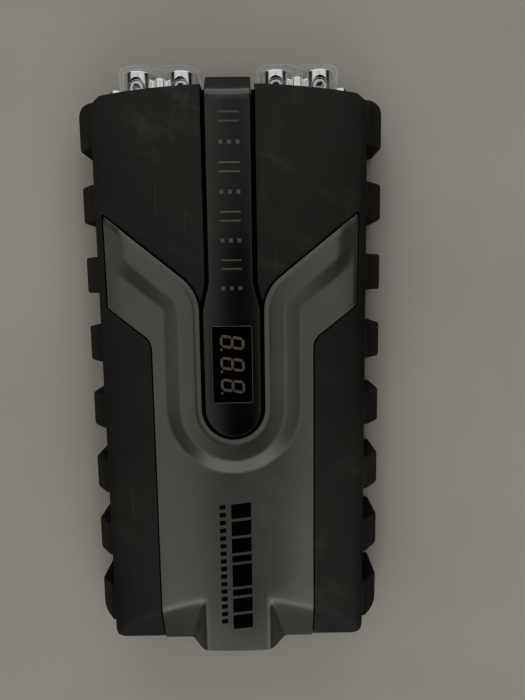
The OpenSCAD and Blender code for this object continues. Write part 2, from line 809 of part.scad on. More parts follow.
module positive_terminal() color([0.82, 0.82, 0.84]) translate([terminal_x, 0, 0]) terminal();
module negative_terminal() color([0.82, 0.82, 0.84]) translate([-terminal_x, 0, 0]) terminal();

// Socket set screw, backed off clear of the cable bore
module set_screw(k) color([0.55, 0.55, 0.57]) {
    x = (k < 2 ? -terminal_x : terminal_x) + lobes[k % 2];
    translate([x, set_y, set_z]) difference() {
        cylinder(r = set_hole_r - set_clear, h = set_len, $fn = 64);
        translate([0, 0, set_len - 3]) cylinder(r = 2.3, h = 4, $fn = 6);
    }
}

// Clear cover that pushes on over a terminal block
module cover() {
    mid_z = lobe_z - lobe_drop / 2;
    hw = bore_pitch / 2 + lobe_r + cover_gap + cover_wall;
    hh = lobe_r + lobe_drop / 2 + cover_gap + cover_wall;
    difference() {
        translate([0, 0, mid_z]) along_y(cover_outline(hw, hh, 11), cover_back_y, cover_front_y);
        translate([0, 0, mid_z])
            along_y(cover_outline(hw - cover_wall, hh - cover_wall, 9),
                cover_back_y - 1, cover_front_y - 1.3);
        for (x = lobes) {
            translate([x, cover_front_y - 4, bore_z]) rotate([-90, 0, 0]) cylinder(r = 7, h = 10, $fn = 64);
            translate([x, set_y, lobe_z]) cylinder(r = 5, h = 20, $fn = 64);
        }
        // Relief round the head of the panel's screw
        translate([panel_screw.x - terminal_x, cover_back_y - 1, panel_screw.y]) rotate([-90, 0, 0])
            cylinder(r = washer[0] + 0.4, h = washer[1] + panel_head[1] + 1.4);
    }
}

function cover_outline(hw, hh, r) =
    rounded([[hw, -hh, r], [hw, hh, r], [-hw, hh, r], [-hw, -hh, r]]);

module positive_cover() color([0.85, 0.88, 0.9, 0.3]) translate([terminal_x, 0, 0]) cover();
module negative_cover() color([0.85, 0.88, 0.9, 0.3]) mirror([1, 0, 0])
    translate([terminal_x, 0, 0]) cover();

// ---------- fasteners ----------

module case_screws() color([0.3, 0.3, 0.31]) {
    at_bosses() translate([0, 0, case_head_z]) screw(case_pilot_r, seam_z + 1, case_head_r, 2.6, 1.6);
}

module spine_screws() color([0.6, 0.6, 0.62]) {
    for (y = spine_post_ys) {
        translate([0, y, channel_z - channel_t - 0.02]) screw(1.2, 9, 2.6, 1.8, 1);
    }
}

base_shell();
top_cover();
trim_panel();
spine();
display_lens();
display_module();
display_segments();
display_board();
display_screws();
display_lead();
balance_board();
balance_resistors();
balance_capacitors();
board_connector();
buzzer();
cell(0);  // cell_1
cell(1);  // cell_2
cell(2);  // cell_3
cell(3);  // cell_4
cell(4);  // cell_5
cell(5);  // cell_6
winding(0);  // winding_1
winding(1);  // winding_2
winding(2);  // winding_3
winding(3);  // winding_4
winding(4);  // winding_5
winding(5);  // winding_6
sleeve(0);  // sleeve_1
sleeve(1);  // sleeve_2
sleeve(2);  // sleeve_3
sleeve(3);  // sleeve_4
sleeve(4);  // sleeve_5
sleeve(5);  // sleeve_6
inline_links();
link_studs();
rear_link();
end_bolts();
positive_busbar();
negative_busbar();
busbar_bolts();
cradle(0);  // cradle_1
cradle(1);  // cradle_2
cradle(2);  // cradle_3
clamp(0);  // clamp_1
clamp(1);  // clamp_2
clamp(2);  // clamp_3
clamp_screws();
terminal_panel();
panel_screws();
positive_terminal();
negative_terminal();
set_screw(0);  // set_screw_1
set_screw(1);  // set_screw_2
set_screw(2);  // set_screw_3
set_screw(3);  // set_screw_4
positive_cover();
negative_cover();
case_screws();
spine_screws();
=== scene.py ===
"""Looks of a car audio power capacitor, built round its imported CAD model.

Lengths in this script are millimetres, which mesh() turns into metres. The room, the lamps, the
camera and the bump distances of the materials are in metres. Most visible pieces are plates: closed
solids between two height functions, with rounded edges.
"""

import json
import math

import bpy
import numpy as np
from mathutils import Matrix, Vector
from mathutils.geometry import delaunay_2d_cdt
from mathutils.kdtree import KDTree


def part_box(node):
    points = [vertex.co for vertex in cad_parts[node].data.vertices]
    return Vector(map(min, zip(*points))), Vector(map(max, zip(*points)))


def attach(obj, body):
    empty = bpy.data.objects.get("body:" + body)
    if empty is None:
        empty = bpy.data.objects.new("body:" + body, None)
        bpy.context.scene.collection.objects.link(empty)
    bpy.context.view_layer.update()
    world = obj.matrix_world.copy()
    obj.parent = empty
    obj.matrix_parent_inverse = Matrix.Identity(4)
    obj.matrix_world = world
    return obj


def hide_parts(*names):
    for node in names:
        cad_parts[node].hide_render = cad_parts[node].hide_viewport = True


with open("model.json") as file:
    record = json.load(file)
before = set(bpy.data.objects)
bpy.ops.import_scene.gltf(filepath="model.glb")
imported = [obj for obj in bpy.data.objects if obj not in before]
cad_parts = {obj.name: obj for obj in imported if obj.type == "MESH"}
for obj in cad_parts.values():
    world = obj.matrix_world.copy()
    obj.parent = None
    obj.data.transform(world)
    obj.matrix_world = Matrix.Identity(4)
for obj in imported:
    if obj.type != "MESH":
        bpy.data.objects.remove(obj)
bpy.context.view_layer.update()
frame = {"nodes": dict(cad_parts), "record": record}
MM = 0.001
SHARP_ANGLE = math.radians(38)


def box_mm(node):
    """Lowest and highest corner of a CAD node in millimetres."""
    low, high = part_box(node)
    return np.array(low) / MM, np.array(high) / MM


# ---------------------------------------------------------------- driving sizes

LID_LO, LID_HI = box_mm("top_cover")
SPINE_LO, SPINE_HI = box_mm("spine")
LENS_LO, LENS_HI = box_mm("display_lens")
BLOCK_LO, BLOCK_HI = box_mm("positive_terminal")
PANEL_LO, PANEL_HI = box_mm("terminal_panel")
PANEL_SCREWS_LO, PANEL_SCREWS_HI = box_mm("panel_screws")

# Case: the base with its side ribs, and the crowned cover
HALF_W = LID_HI[0]
RIB_X, _, SEAM_Z = box_mm("base_shell")[1]
TAIL_Y = LID_LO[1]
FRONT_Y = 157.4
FRONT_BOW = LID_HI[1] - FRONT_Y
FRONT_BOW_R = 1200.0
WALL = 2.6
FLOOR = 3.0
SILL_Y = 152.5
SILL_W = 3.2
SCREW_YS = (-158, -62, 24, 124)
SCREW_HEAD_R = 3.4
TAIL_CORNER_R = 7.0
CROWN_R = 256.0
CROWN_Z = 58.0
SIDE_BEVEL_Z = 43.2
SIDE_BEVEL_SLOPE = 1.276
SHOULDER_X = 66.0
SHOULDER_SLOPE = 0.06
CHAMFER_Z = 44.0
CHAMFER_SLOPE = 0.41
SKIRT = 3.5
LID_WALL = 3.0
MOUTH_Z = 48.0

RIBS = 8
RIB_PITCH = 42.2
RIB_FIRST_Y = 132.2
RIB_L = 21.4
RIB_SHOULDER_X = 82.0
RIB_FLAT_Z = 26.0
RIB_TAIL_GROW = 3.0

# Trim panel: the Y shape, its slot, its ridge and its tongue at the tail
TRIM_TAIL_Y = box_mm("trim_panel")[0][1]
TRIM_HALF = 47.4
TRIM_UP = 0.6
TRIM_DEPTH = 3.0
TRIM_TAIL_Z = 40.0
TRIM_GAP = 0.4
SLOT_HALF = 18.2
SLOT_NARROW = 14.8
KNEE = (TRIM_HALF, 19.2)
KNEE_R = 10.0
WING_LOW = (74.0, 38.9)
WING_TIP = (74.5, 92.7)
ELBOW_Y = 48.0
ELBOW_R = 24.8
POD_Y = -20.0
POD_START_Y = 37.0
NECK_Y = 53.0
RIDGE_H = 2.6
RIDGE_W = (12.3, 21.6)
RIDGE_FADE = (60.0, 73.0)
RIDGE_SOFT = 0.03
LIP_W = 3.0
LIP_DROP = 1.3
SIDE_LIP_W = 1.6
SIDE_LIP_DROP = 0.7
TONGUE = (18.5, 34.0)
TONGUE_FADE = (-140.0, -126.0)

# Spine and the channel that it lies in
SPINE_HALF = 12.6
POD_HALF = 16.4
SPINE_Z = SPINE_HI[2]
SPINE_CROWN_R = 150.0
CHANNEL_Z = 49.0
CHANNEL_WALL = 2.2
NOSE_TOP_Y = 154.6
NOSE_SLOPE = 0.87

# Terminals, set screws, end panel screws and clear covers
LOBE_R = 9.0
LOBE_Z = 36.0
LOBE_DROP = 3.0
BORE_R = 5.25
BORE_Z = 33.5
BORE_PITCH = 25.0
BLOCK_BACK_Y = 157.3
BEAD_R = 4.2
BEAD_Z = 38.0
BEAD_BACK = 3.0
SET_Y = 163.0
SET_R = 4.0
SINK_R = 6.0
WASHER_R = 4.6
COVER_WALL = 2.0
COVER_FRONT = 1.3
COVER_R = 11.0
COVER_DIP = 2.2
DIP_HALF = 4.8
MOUTH_R = 7.0
KEY_HOLE_R = 5.0

# ---------------------------------------------------------------- outlines


def unit(v):
    return v / np.linalg.norm(v)


def corner(p, a, b, r, n=8):
    """Points of corner p of an outline, between a and b, rounded to radius r."""
    p, a, b = (np.array(q, float) for q in (p, a, b))
    if r <= 0:
        return [p]
    u, v = unit(a - p), unit(b - p)
    half = math.acos(np.clip(u @ v, -1, 1)) / 2
    c = p + unit(u + v) * r / math.sin(half)
    s, e = p + u * r / math.tan(half) - c, p + v * r / math.tan(half) - c
    turn = math.copysign(math.pi - 2 * half, s[0] * e[1] - s[1] * e[0])
    out = []
    for k in range(n + 1):
        t = turn * k / n
        out.append(c + np.array([s[0] * math.cos(t) - s[1] * math.sin(t),
                                 s[0] * math.sin(t) + s[1] * math.cos(t)]))
    return out


def rounded(points, n=8):
    """A closed outline of (x, y, radius) points, with its corners rounded."""
    out = []
    for i, p in enumerate(points):
        a, b = points[i - 1], points[(i + 1) % len(points)]
        out += corner(p[:2], a[:2], b[:2], p[2], n)
    return np.array(out)


def mirrored(points):
    """The points on the other side of X = 0, in the order that carries an outline on."""
    return [(-p[0],) + tuple(p[1:]) for p in reversed(points)]


def rectangle(w, h, r=0.0, centre=(0.0, 0.0), n=6):
    x, y = w / 2, h / 2
    loop = rounded([(x, -y, r), (x, y, r), (-x, y, r), (-x, -y, r)], n)
    return loop + np.array(centre)


def circle(r, centre=(0.0, 0.0), n=48):
    a = np.arange(n) * 2 * math.pi / n
    return np.stack([centre[0] + r * np.cos(a), centre[1] + r * np.sin(a)], 1)


def offset(loop, d):
    """A closed loop moved to its left by d, which is into the material."""
    before, after = np.roll(loop, 1, 0), np.roll(loop, -1, 0)
    d1, d2 = loop - before, after - loop
    d1 /= np.linalg.norm(d1, axis=1)[:, None] + 1e-12
    d2 /= np.linalg.norm(d2, axis=1)[:, None] + 1e-12
    n1, n2 = np.stack([-d1[:, 1], d1[:, 0]], 1), np.stack([-d2[:, 1], d2[:, 0]], 1)
    k = 1 + (n1 * n2).sum(1)
    return loop + (n1 + n2) * (d / np.maximum(k, 0.25))[:, None]


def subdivided(loop, step):
    """The loop with no edge longer than step."""
    out = []
    for a, b in zip(loop, np.roll(loop, -1, 0)):
        length = np.linalg.norm(b - a)
        if length < 1e-6:
            continue
        n = max(1, math.ceil(length / step))
        out += [a + (b - a) * k / n for k in range(n)]
    return np.array(out)


def inside(points, loops):
    """Even-odd test of many points against several loops."""
    x, y = points[:, 0], points[:, 1]
    hit = np.zeros(len(points), bool)
    for loop in loops:
        for (x0, y0), (x1, y1) in zip(loop, np.roll(loop, -1, 0)):
            if y0 == y1:
                continue
            across = (y0 > y) != (y1 > y)
            hit ^= across & (x < x0 + (y - y0) * (x1 - x0) / (y1 - y0))
    return hit


# ---------------------------------------------------------------- mesh tools


def smoothed(data):
    """Gives a mesh smooth shading between its sharp edges."""
    data.polygons.foreach_set("use_smooth", [True] * len(data.polygons))
    data.set_sharp_from_angle(angle=SHARP_ANGLE)


def mesh(name, verts, faces, smooth=True):
    """A mesh object from points in millimetres."""
    data = bpy.data.meshes.new(name)
    data.from_pydata([tuple(c * MM for c in v) for v in verts], [], faces)
    data.validate()
    data.update()
    obj = bpy.data.objects.new(name, data)
    bpy.context.scene.collection.objects.link(obj)
    if smooth:
        smoothed(data)
    return obj


def enclosed(tris, border):
    """The triangles on the left of the border's directed edges, spreading from those edges.

    Where the triangulation left out a sliver between two border edges, the sliver is added.
    """
    owner = {(t[k], t[k - 2]): i for i, t in enumerate(tris) for k in range(3)}
    todo = [i for edge, i in owner.items() if edge in border]
    found = set(todo)
    while todo:
        t = tris[todo.pop()]
        for k in range(3):
            other = owner.get((t[k - 2], t[k]))
            if (t[k], t[k - 2]) not in border and other is not None and other not in found:
                found.add(other)
                todo.append(other)
    after = dict(border)
    slivers = [(a, b, after[b]) for a, b in border
               if (a, b) not in owner and (b, after[b]) not in owner and (a, after[b]) in owner]
    return [tris[i] for i in sorted(found)] + sorted(slivers)


def cap(loops, ids, points, height, verts, flip):
    """Triangles that fill the loops, whose vertices are ids, with extra points inside."""
    flat = np.concatenate(loops)
    index = [i for group in ids for i in group]
    edges, start = [], 0
    for loop in loops:
        n = len(loop)
        edges += [(start + k, start + (k + 1) % n) for k in range(n)]
        start += n
    if len(points):
        index += list(range(len(verts), len(verts) + len(points)))
        z = height(points[:, 0], points[:, 1])
        verts += [(p[0], p[1], h) for p, h in zip(points, z)]
        flat = np.concatenate([flat, points])
    out = delaunay_2d_cdt([Vector(p) for p in flat], edges, [], 0, 1e-7, True)
    place = [origin[0] if origin else -1 for origin in out[3]]
    tris = [tuple(place[i] for i in t) for t in out[2]]
    order = (0, 2, 1) if flip else (0, 1, 2)
    return [tuple(index[t[k]] for k in order) for t in enclosed(tris, set(edges))]


def grid_points(loops, spacing, clear):
    """A staggered grid of points inside the loops, clear of their edges."""
    low, high = loops[0].min(0), loops[0].max(0)
    rows = np.arange(low[1] + spacing / 3, high[1], spacing * 0.866)
    cols = np.arange(low[0], high[0] + spacing, spacing)
    pts = np.array([(x + (spacing / 2 if j % 2 else 0), y)
                    for j, y in enumerate(rows) for x in cols])
    pts = pts[inside(pts, loops)]
    edge = np.concatenate(loops)
    tree = KDTree(len(edge))
    for i, p in enumerate(edge):
        tree.insert((p[0], p[1], 0), i)
    tree.balance()
    return np.array([p for p in pts if tree.find((p[0], p[1], 0))[2] > clear]).reshape(-1, 2)


def flat_at(h):
    """A height function that is h everywhere."""
    return lambda x, y: np.full_like(np.asarray(x, float), h)


def plate_data(loops, top, bottom, r=0.6, r_low=0.3, step=2.0, grid=0.0, arc=4, low_points=None,
               r_hole=None):
    """Vertices and faces of a closed solid between two height functions.

    loops[0] runs counter-clockwise and the holes clockwise. The upper edges have radius r and the
    lower ones r_low, or all edges of the holes r_hole. A grid adds points inside the upper face.
    """
    loops = [subdivided(loop, step) for loop in loops]
    verts, faces, top_ids, low_ids, top_loops, low_loops = [], [], [], [], [], []
    for loop in loops:
        if r_hole and top_ids:
            r = r_low = r_hole
        rings = []
        for k in range(arc + 1):
            a = math.pi / 2 * (1 - k / arc)
            rings.append((r_low * (1 - math.cos(a)), bottom, r_low * (1 - math.sin(a))))
        for k in range(arc + 1):
            a = math.pi / 2 * k / arc
            rings.append((r * (1 - math.cos(a)), top, -r * (1 - math.sin(a))))
        n, last = len(loop), None
        for inset, height, lift in rings:
            ring = offset(loop, inset)
            z = height(ring[:, 0], ring[:, 1]) + lift
            ids = list(range(len(verts), len(verts) + n))
            verts += [(p[0], p[1], h) for p, h in zip(ring, z)]
            if last:
                faces += [(last[i], last[(i + 1) % n], ids[(i + 1) % n], ids[i]) for i in range(n)]
            else:
                low_ids.append(ids)
                low_loops.append(ring)
            last = ids
        top_ids.append(last)
        top_loops.append(ring)
    none = np.zeros((0, 2))
    pts = grid_points(top_loops, grid, max(grid * 0.55, step * 0.6)) if grid else none
    faces += cap(top_loops, top_ids, pts, top, verts, False)
    faces += cap(low_loops, low_ids, none if low_points is None else low_points, bottom, verts, True)
    return verts, faces


def plate(name, loops, top, bottom, turn=None, **settings):
    """A plate as an object, where turn maps (x, y, height) to the place of each vertex."""
    top = top if callable(top) else flat_at(top)
    bottom = bottom if callable(bottom) else flat_at(bottom)
    verts, faces = plate_data(loops, top, bottom, **settings)
    if turn:
        verts = [turn(*v) for v in verts]
    return mesh(name, verts, faces)


def facing_front(u, v, h):
    """A turn that puts a plate's outline in X and Z, with its low side facing +Y."""
    return (u, -h, v)


def lathe(name, profile, n):
    """A closed turned solid from (radius, height) points, whose ends lie on the axis."""
    verts, faces, rows = [], [], []
    for r, h in profile:
        if r <= 1e-6:
            rows.append([len(verts)])
            verts.append((0.0, 0.0, h))
        else:
            rows.append(list(range(len(verts), len(verts) + n)))
            verts += [(p[0], p[1], h) for p in circle(r, n=n)]
    for a, b in zip(rows, rows[1:]):
        for i in range(n):
            j = (i + 1) % n
            if len(a) == 1:
                faces.append((a[0], b[j], b[i]))
            elif len(b) == 1:
                faces.append((a[i], a[j], b[0]))
            else:
                faces.append((a[i], a[j], b[j], b[i]))
    return mesh(name, verts, faces)


def joined(name, parts):
    """Several mesh objects made into one."""
    for o in bpy.context.selected_objects:
        o.select_set(False)
    for o in parts:
        o.select_set(True)
    bpy.context.view_layer.objects.active = parts[0]
    bpy.ops.object.join()
    parts[0].name = parts[0].data.name = name
    return parts[0]


def cut(obj, tools):
    """Cuts the tools out of obj and removes them."""
    for tool in tools:
        m = obj.modifiers.new("cut", "BOOLEAN")
        m.operation, m.solver, m.object = "DIFFERENCE", "EXACT", tool
    baked(obj)
    for tool in tools:
        bpy.data.objects.remove(tool)
    return obj


def baked(obj):
    """Applies obj's modifiers to its mesh."""
    graph = bpy.context.evaluated_depsgraph_get()
    data = bpy.data.meshes.new_from_object(obj.evaluated_get(graph))
    obj.modifiers.clear()
    obj.data = data
    smoothed(data)


def even_shading(obj):
    """Weights the normals by face area, so that flats stay flat beside rounded edges."""
    m = obj.modifiers.new("even_shading", "WEIGHTED_NORMAL")
    m.keep_sharp = True


def finished(obj, body, replaces, material, *, even=True):
    """Gives a piece its body, the CAD nodes it stands for and its material."""
    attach(obj, body)
    if replaces:
        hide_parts(*replaces)
    obj.data.materials.clear()
    obj.data.materials.append(material)
    if even:
        even_shading(obj)


# ---------------------------------------------------------------- height functions


def smooth_min(a, b, k):
    """The lower of two heights, blended where they differ by less than k."""
    h = np.clip(0.5 + 0.5 * (b - a) / k, 0, 1)
    return b + (a - b) * h - k * h * (1 - h)


def smooth_step(x, low, high):
    t = np.clip((x - low) / (high - low), 0, 1)
    return t * t * (3 - 2 * t)


def crown(x):
    """Height of the crowned top."""
    return CROWN_Z - CROWN_R + np.sqrt(CROWN_R ** 2 - np.asarray(x, float) ** 2)


def chamfer(y):
    """Height of the slope at the tail."""
    return CHAMFER_Z + CHAMFER_SLOPE * (y - TAIL_Y)


def shoulder(x):
    """The slight extra fall of the cover beyond its shoulder line."""
    over = np.abs(x) - SHOULDER_X
    return -SHOULDER_SLOPE * (over + np.sqrt(over ** 2 + 1.5)) / 2


def lid_top(x, y):
    """The cover's crown with its shoulders, its side bevels and the slope at the tail."""
    side = SIDE_BEVEL_Z + (HALF_W - np.abs(x)) * SIDE_BEVEL_SLOPE
    z = smooth_min(crown(x) + shoulder(x), side, 1.0)
    return smooth_min(z, chamfer(y), 0.8)


def lid_bottom(x, y):
    """The cover reaches the seam at its sides, the channel at the slot and the mouth in front."""
    outside = (np.abs(x) > HALF_W - SKIRT) | (y < TAIL_Y + SKIRT)
    z = np.where(outside, SEAM_Z, lid_top(x, y) - LID_WALL)
    at_slot = np.abs(x) < SLOT_HALF + 0.5
    z = np.where(at_slot & ~outside, CHANNEL_Z - 1.0, z)
    mouth = (y > FRONT_Y - 4) & (np.abs(x) < HALF_W - 4)
    return np.where(mouth, np.minimum(MOUTH_Z, lid_top(x, y) - 1.6), z)


# Direction of the wing's upper edge, and the elbow between that edge and the slot
WING = unit(np.array(WING_TIP) - np.array([SLOT_HALF, ELBOW_Y]))
ELBOW_TURN = (math.pi / 2 - math.atan2(WING[1], WING[0])) / 2
ELBOW_C = np.array([SLOT_HALF + ELBOW_R, ELBOW_Y - ELBOW_R * math.tan(ELBOW_TURN)])


def inner_distance(x, y):
    """Distance of a point of the trim from the trim's upper and inner edge."""
    x = np.abs(x)
    down = (x - SLOT_HALF) * WING[1] - (y - ELBOW_Y) * WING[0]
    side = x - SLOT_HALF
    round_elbow = ELBOW_R - np.hypot(x - ELBOW_C[0], y - ELBOW_C[1])
    angle = np.degrees(np.arctan2(y - ELBOW_C[1], x - ELBOW_C[0]))
    normal = 90 + math.degrees(math.atan2(WING[1], WING[0]))
    w = np.where(angle > normal, round_elbow, down)
    w = np.where(y < ELBOW_C[1], side, w)
    return np.where(y < POD_Y, np.hypot(x, y - POD_Y) - SLOT_HALF, w)


def soft_start(t):
    """A value from 0 to 1 whose straight rise starts with a short curve."""
    return np.where(t < RIDGE_SOFT, t ** 2 / (2 * RIDGE_SOFT), t - RIDGE_SOFT / 2) / (1 - RIDGE_SOFT / 2)


def ridge(x, y):
    """Height of the raised ridge over the trim's own surface."""
    w = inner_distance(x, y)
    fall = soft_start(np.clip((RIDGE_W[1] - w) / (RIDGE_W[1] - RIDGE_W[0]), 0, 1))
    fall = 1 - soft_start(1 - fall)
    upper = np.where(y > ELBOW_C[1], 1 - smooth_step(np.abs(x), *RIDGE_FADE), 1.0)
    return RIDGE_H * np.clip(fall, 0, 1) * upper


def trim_surface(x, y):
    """The trim without its ridge and lips: crown, tail chamfers and tongue."""
    high = crown(x) + shoulder(x)
    depth = high - chamfer(y)
    depth = (depth + np.sqrt(depth ** 2 + 1)) / 2
    depth = np.maximum(depth - 0.05, 0)
    t = np.clip((np.abs(x) - TONGUE[0]) / (TONGUE[1] - TONGUE[0]), 0, 1)
    allowed = (1 - np.cos(math.pi * t)) / 2 * (CROWN_Z - CHAMFER_Z + 1.0)
    near_tail = 1 - smooth_step(y, *TONGUE_FADE)
    k = 0.02 + 1.4 * near_tail * smooth_step(allowed, 0.0, 1.0)
    depth = smooth_min(depth, allowed, k)
    return high - np.maximum(depth, 0) + TRIM_UP


def trim_top(x, y):
    """The trim with its ridge, and with lips that fall to the slot and to the wings' outer edges."""
    lip = LIP_DROP * np.clip((LIP_W - inner_distance(x, y)) / LIP_W, 0, 1)
    edge_x = WING_LOW[0] + (y - WING_LOW[1]) * (WING_TIP[0] - WING_LOW[0]) / (WING_TIP[1] - WING_LOW[1])
    on_wing = (y > WING_LOW[1] - 12) & (np.abs(x) > 60)
    side_lip = SIDE_LIP_DROP * np.clip((SIDE_LIP_W - (edge_x - np.abs(x))) / SIDE_LIP_W, 0, 1)
    return trim_surface(x, y) + ridge(x, y) - lip - np.where(on_wing, side_lip, 0)


def trim_bottom(x, y):
    """The underside, which follows the case's surface and reaches further down at the tail."""
    return np.where(y < TAIL_Y + 1.0, TRIM_TAIL_Z, np.minimum(crown(x), chamfer(y)) - TRIM_DEPTH)


def spine_top(x, y):
    """The crowned spine, which slopes down at its nose."""
    z = SPINE_Z - SPINE_CROWN_R + np.sqrt(SPINE_CROWN_R ** 2 - x ** 2)
    return smooth_min(z, SPINE_Z - 0.2 - (y - NOSE_TOP_Y) * NOSE_SLOPE, 2.4)


def spine_bottom(x, y):
    """The spine ends on the channel's floor, and its nose hangs down in front of the case."""
    return np.where(y > FRONT_Y + 0.3, SPINE_LO[2], CHANNEL_Z)


# ---------------------------------------------------------------- pieces


def base_outline():
    """Ribbed outside of the base with the walls' inside, open at the front."""
    side = []
    for k in reversed(range(RIBS)):
        y0 = RIB_FIRST_Y - k * RIB_PITCH
        y1 = y0 + RIB_L
        tail, head = k == RIBS - 1, k == 0
        if tail:
            y0 -= RIB_TAIL_GROW
            side.append((HALF_W, TAIL_Y, min(TAIL_CORNER_R, y0 - TAIL_Y - 0.6)))
        y1 = FRONT_Y if head else y1
        side += [(HALF_W, y0, 0.4 if tail else 0.9), (RIB_X, y0, 6.5 if tail else 1.8),
                 (RIB_X, y1, 5.0 if head else 1.8)]
        side += [] if head else [(HALF_W, y1, 0.9)]
    panel_x, panel_y = PANEL_HI[0] + 0.1, PANEL_LO[1] - 0.6
    inner = [(panel_x, FRONT_Y, 0.0), (panel_x, panel_y, 0.0), (HALF_W - WALL, panel_y, 0.0),
             (HALF_W - WALL, TAIL_Y + WALL, 4.4)]
    return rounded(side + inner + mirrored(inner) + mirrored(side), 6)


def base_top(x, y):
    """The flat seam, and the slopes on top of the side ribs."""
    slope = (SEAM_Z - RIB_FLAT_Z) / (RIB_X - RIB_SHOULDER_X)
    return smooth_min(flat_at(SEAM_Z)(x, y), SEAM_Z - (np.abs(x) - RIB_SHOULDER_X) * slope, 0.9)


def build_base(material):
    walls = plate("walls", [base_outline()], base_top, 0.0, r=0.9, r_low=0.8, step=3.0, grid=3.0)
    x, front, tail = HALF_W - WALL + 1, FRONT_Y - 0.05, TAIL_Y + WALL - 1
    floor_loop = rounded([(x, front, 0.5), (-x, front, 0.5), (-x, tail, 4), (x, tail, 4)])
    low, high = box_mm("case_screws")
    screw_x = (high[0] - low[0]) / 2 - SCREW_HEAD_R
    holes = [circle(SCREW_HEAD_R + 0.3, (side * screw_x, y), 32)[::-1]
             for side in (-1, 1) for y in SCREW_YS]
    floor = plate("floor", [floor_loop] + holes, FLOOR, 0.35, r=0.2, r_low=0.25, step=12.0, arc=2)
    sill_loop = rectangle(2 * (HALF_W - WALL) + 0.6, SILL_W, 0.6, (0, SILL_Y))
    sill = plate("sill", [sill_loop], 2 * FLOOR, 2.5, r=0.3, r_low=0.2, step=20, arc=2)
    finished(joined("base_shell_look", [walls, floor, sill]), "case", ["base_shell"],
             material)


def slot_edge_x(y):
    """X of the slot's edge at y, between the display end and the straight part."""
    t = np.clip((y - POD_START_Y) / (NECK_Y - POD_START_Y), 0, 1)
    return SLOT_HALF + (SLOT_NARROW - SLOT_HALF) * t


def lid_half():
    """Right half of the cover's visible face, as a closed outline."""
    front = [(x, FRONT_Y + FRONT_BOW - x * x / (2 * FRONT_BOW_R), 0.0)
             for x in np.linspace(73.0, SLOT_NARROW, 12)]
    trim = np.array([(TRIM_HALF, TAIL_Y - 40), KNEE, WING_LOW, WING_TIP, (SLOT_HALF, ELBOW_Y),
                     (SLOT_HALF, 0), (30, 0), (30, TAIL_Y - 40)])
    knee, low, tip, elbow = offset(trim, -TRIM_GAP)[1:5]
    arc = corner(elbow, tip, (elbow[0], 0), ELBOW_R + TRIM_GAP, 14)
    arc = [p for p in arc if p[0] > slot_edge_x(p[1]) + 0.9]
    end = arc[-1]
    points = [(HALF_W, TAIL_Y, TAIL_CORNER_R), (HALF_W, 151.0, 3.0), (HALF_W - 1.6, 154.8, 2.0)]
    points += [(p[0], p[1], 0.0) for p in front]
    points += [(SLOT_NARROW, NECK_Y, 4.0), (slot_edge_x(end[1]), end[1], 0.0)]
    points += [(p[0], p[1], 0.0) for p in reversed(arc)]
    points += [(tip[0], tip[1], 0.8), (low[0], low[1], 1.0), (knee[0], knee[1], KNEE_R - TRIM_GAP)]
    points += [(TRIM_HALF + TRIM_GAP, TAIL_Y, 0.6)]
    return rounded(points)


def pod_arc(r, start, end, n):
    """Points on an arc round the centre of the display end."""
    return [(r * math.cos(a), POD_Y + r * math.sin(a), 0.0) for a in np.linspace(start, end, n)]


def slot_path(narrow, wide, end_y):
    """Outline of the spine, or of the channel's floor under it."""
    arc = pod_arc(wide, math.pi, 2 * math.pi, 36)
    return rounded([(narrow, NECK_Y, 8.0), (narrow, end_y, 1.2), (-narrow, end_y, 1.2),
                    (-narrow, NECK_Y, 8.0), (-wide, POD_START_Y, 10.0)] + arc
                   + [(wide, POD_START_Y, 10.0)])


def cleft(loop, half, y):
    """The loop with a straight notch of that half width cut down to y from its top edge."""
    top = loop[:, 1].max()
    at = int(np.argmax((loop[:, 1] > top - 0.01) & (np.roll(loop, -1, 0)[:, 0] < -half)))
    notch = np.array([(half, top), (half, y), (-half, y), (-half, top)])
    return np.concatenate([loop[:at + 1], notch, loop[at + 1:]])


def build_lid(material):
    right = lid_half()
    left = right[::-1] * np.array([-1, 1])
    parts = [plate(word, [loop], lid_top, lid_bottom, r=0.55, r_low=0.2, step=2.0, grid=3.0)
             for word, loop in (("right", right), ("left", left))]
    floor = slot_path(SLOT_NARROW + 1, SLOT_HALF + 1.2, FRONT_Y + FRONT_BOW - 0.4)
    floor = cleft(floor, SPINE_HALF + 0.4, FRONT_Y - 0.5)
    parts.append(plate("channel_floor", [floor], CHANNEL_Z, CHANNEL_Z - 2, r=0.1, r_low=0.1, step=6, arc=1))
    end = [(SLOT_HALF + CHANNEL_WALL, POD_START_Y, 0.0), (SLOT_HALF, POD_START_Y, 0.0)]
    wall = rounded(pod_arc(SLOT_HALF + CHANNEL_WALL, math.pi, 2 * math.pi, 30) + end
                   + pod_arc(SLOT_HALF, 2 * math.pi, math.pi, 30) + mirrored(end))
    parts.append(plate("channel_wall", [wall], lambda x, y: crown(x) - 1.6, CHANNEL_Z - 1,
                       r=0.1, r_low=0.1, step=3, arc=1))
    finished(joined("top_cover_look", parts), "case", ["top_cover"], material)


def trim_loop():
    """The Y-shaped outline of the trim."""
    half = [(TRIM_HALF, TRIM_TAIL_Y, 0.8), (*KNEE, KNEE_R), (*WING_LOW, 1.0), (*WING_TIP, 0.9),
            (SLOT_HALF, ELBOW_Y, ELBOW_R), (SLOT_HALF, POD_Y, 0.0)]
    pod = pod_arc(SLOT_HALF, 0, -math.pi, 41)[1:-1]
    return rounded(half + pod + mirrored(half), 16)


def build_trim(material):
    obj = plate("trim_panel_look", [trim_loop()], trim_top, trim_bottom, r=0.5, r_low=0.2,
                step=1.5, grid=1.3)
    finished(obj, "case", ["trim_panel"], material)


def window_loop(grow, r):
    """Outline of the display window, larger by grow all round."""
    size = LENS_HI - LENS_LO
    centre = (LENS_HI + LENS_LO) / 2
    return rectangle(size[0] + 2 * grow, size[1] + 2 * grow, r, centre[:2])


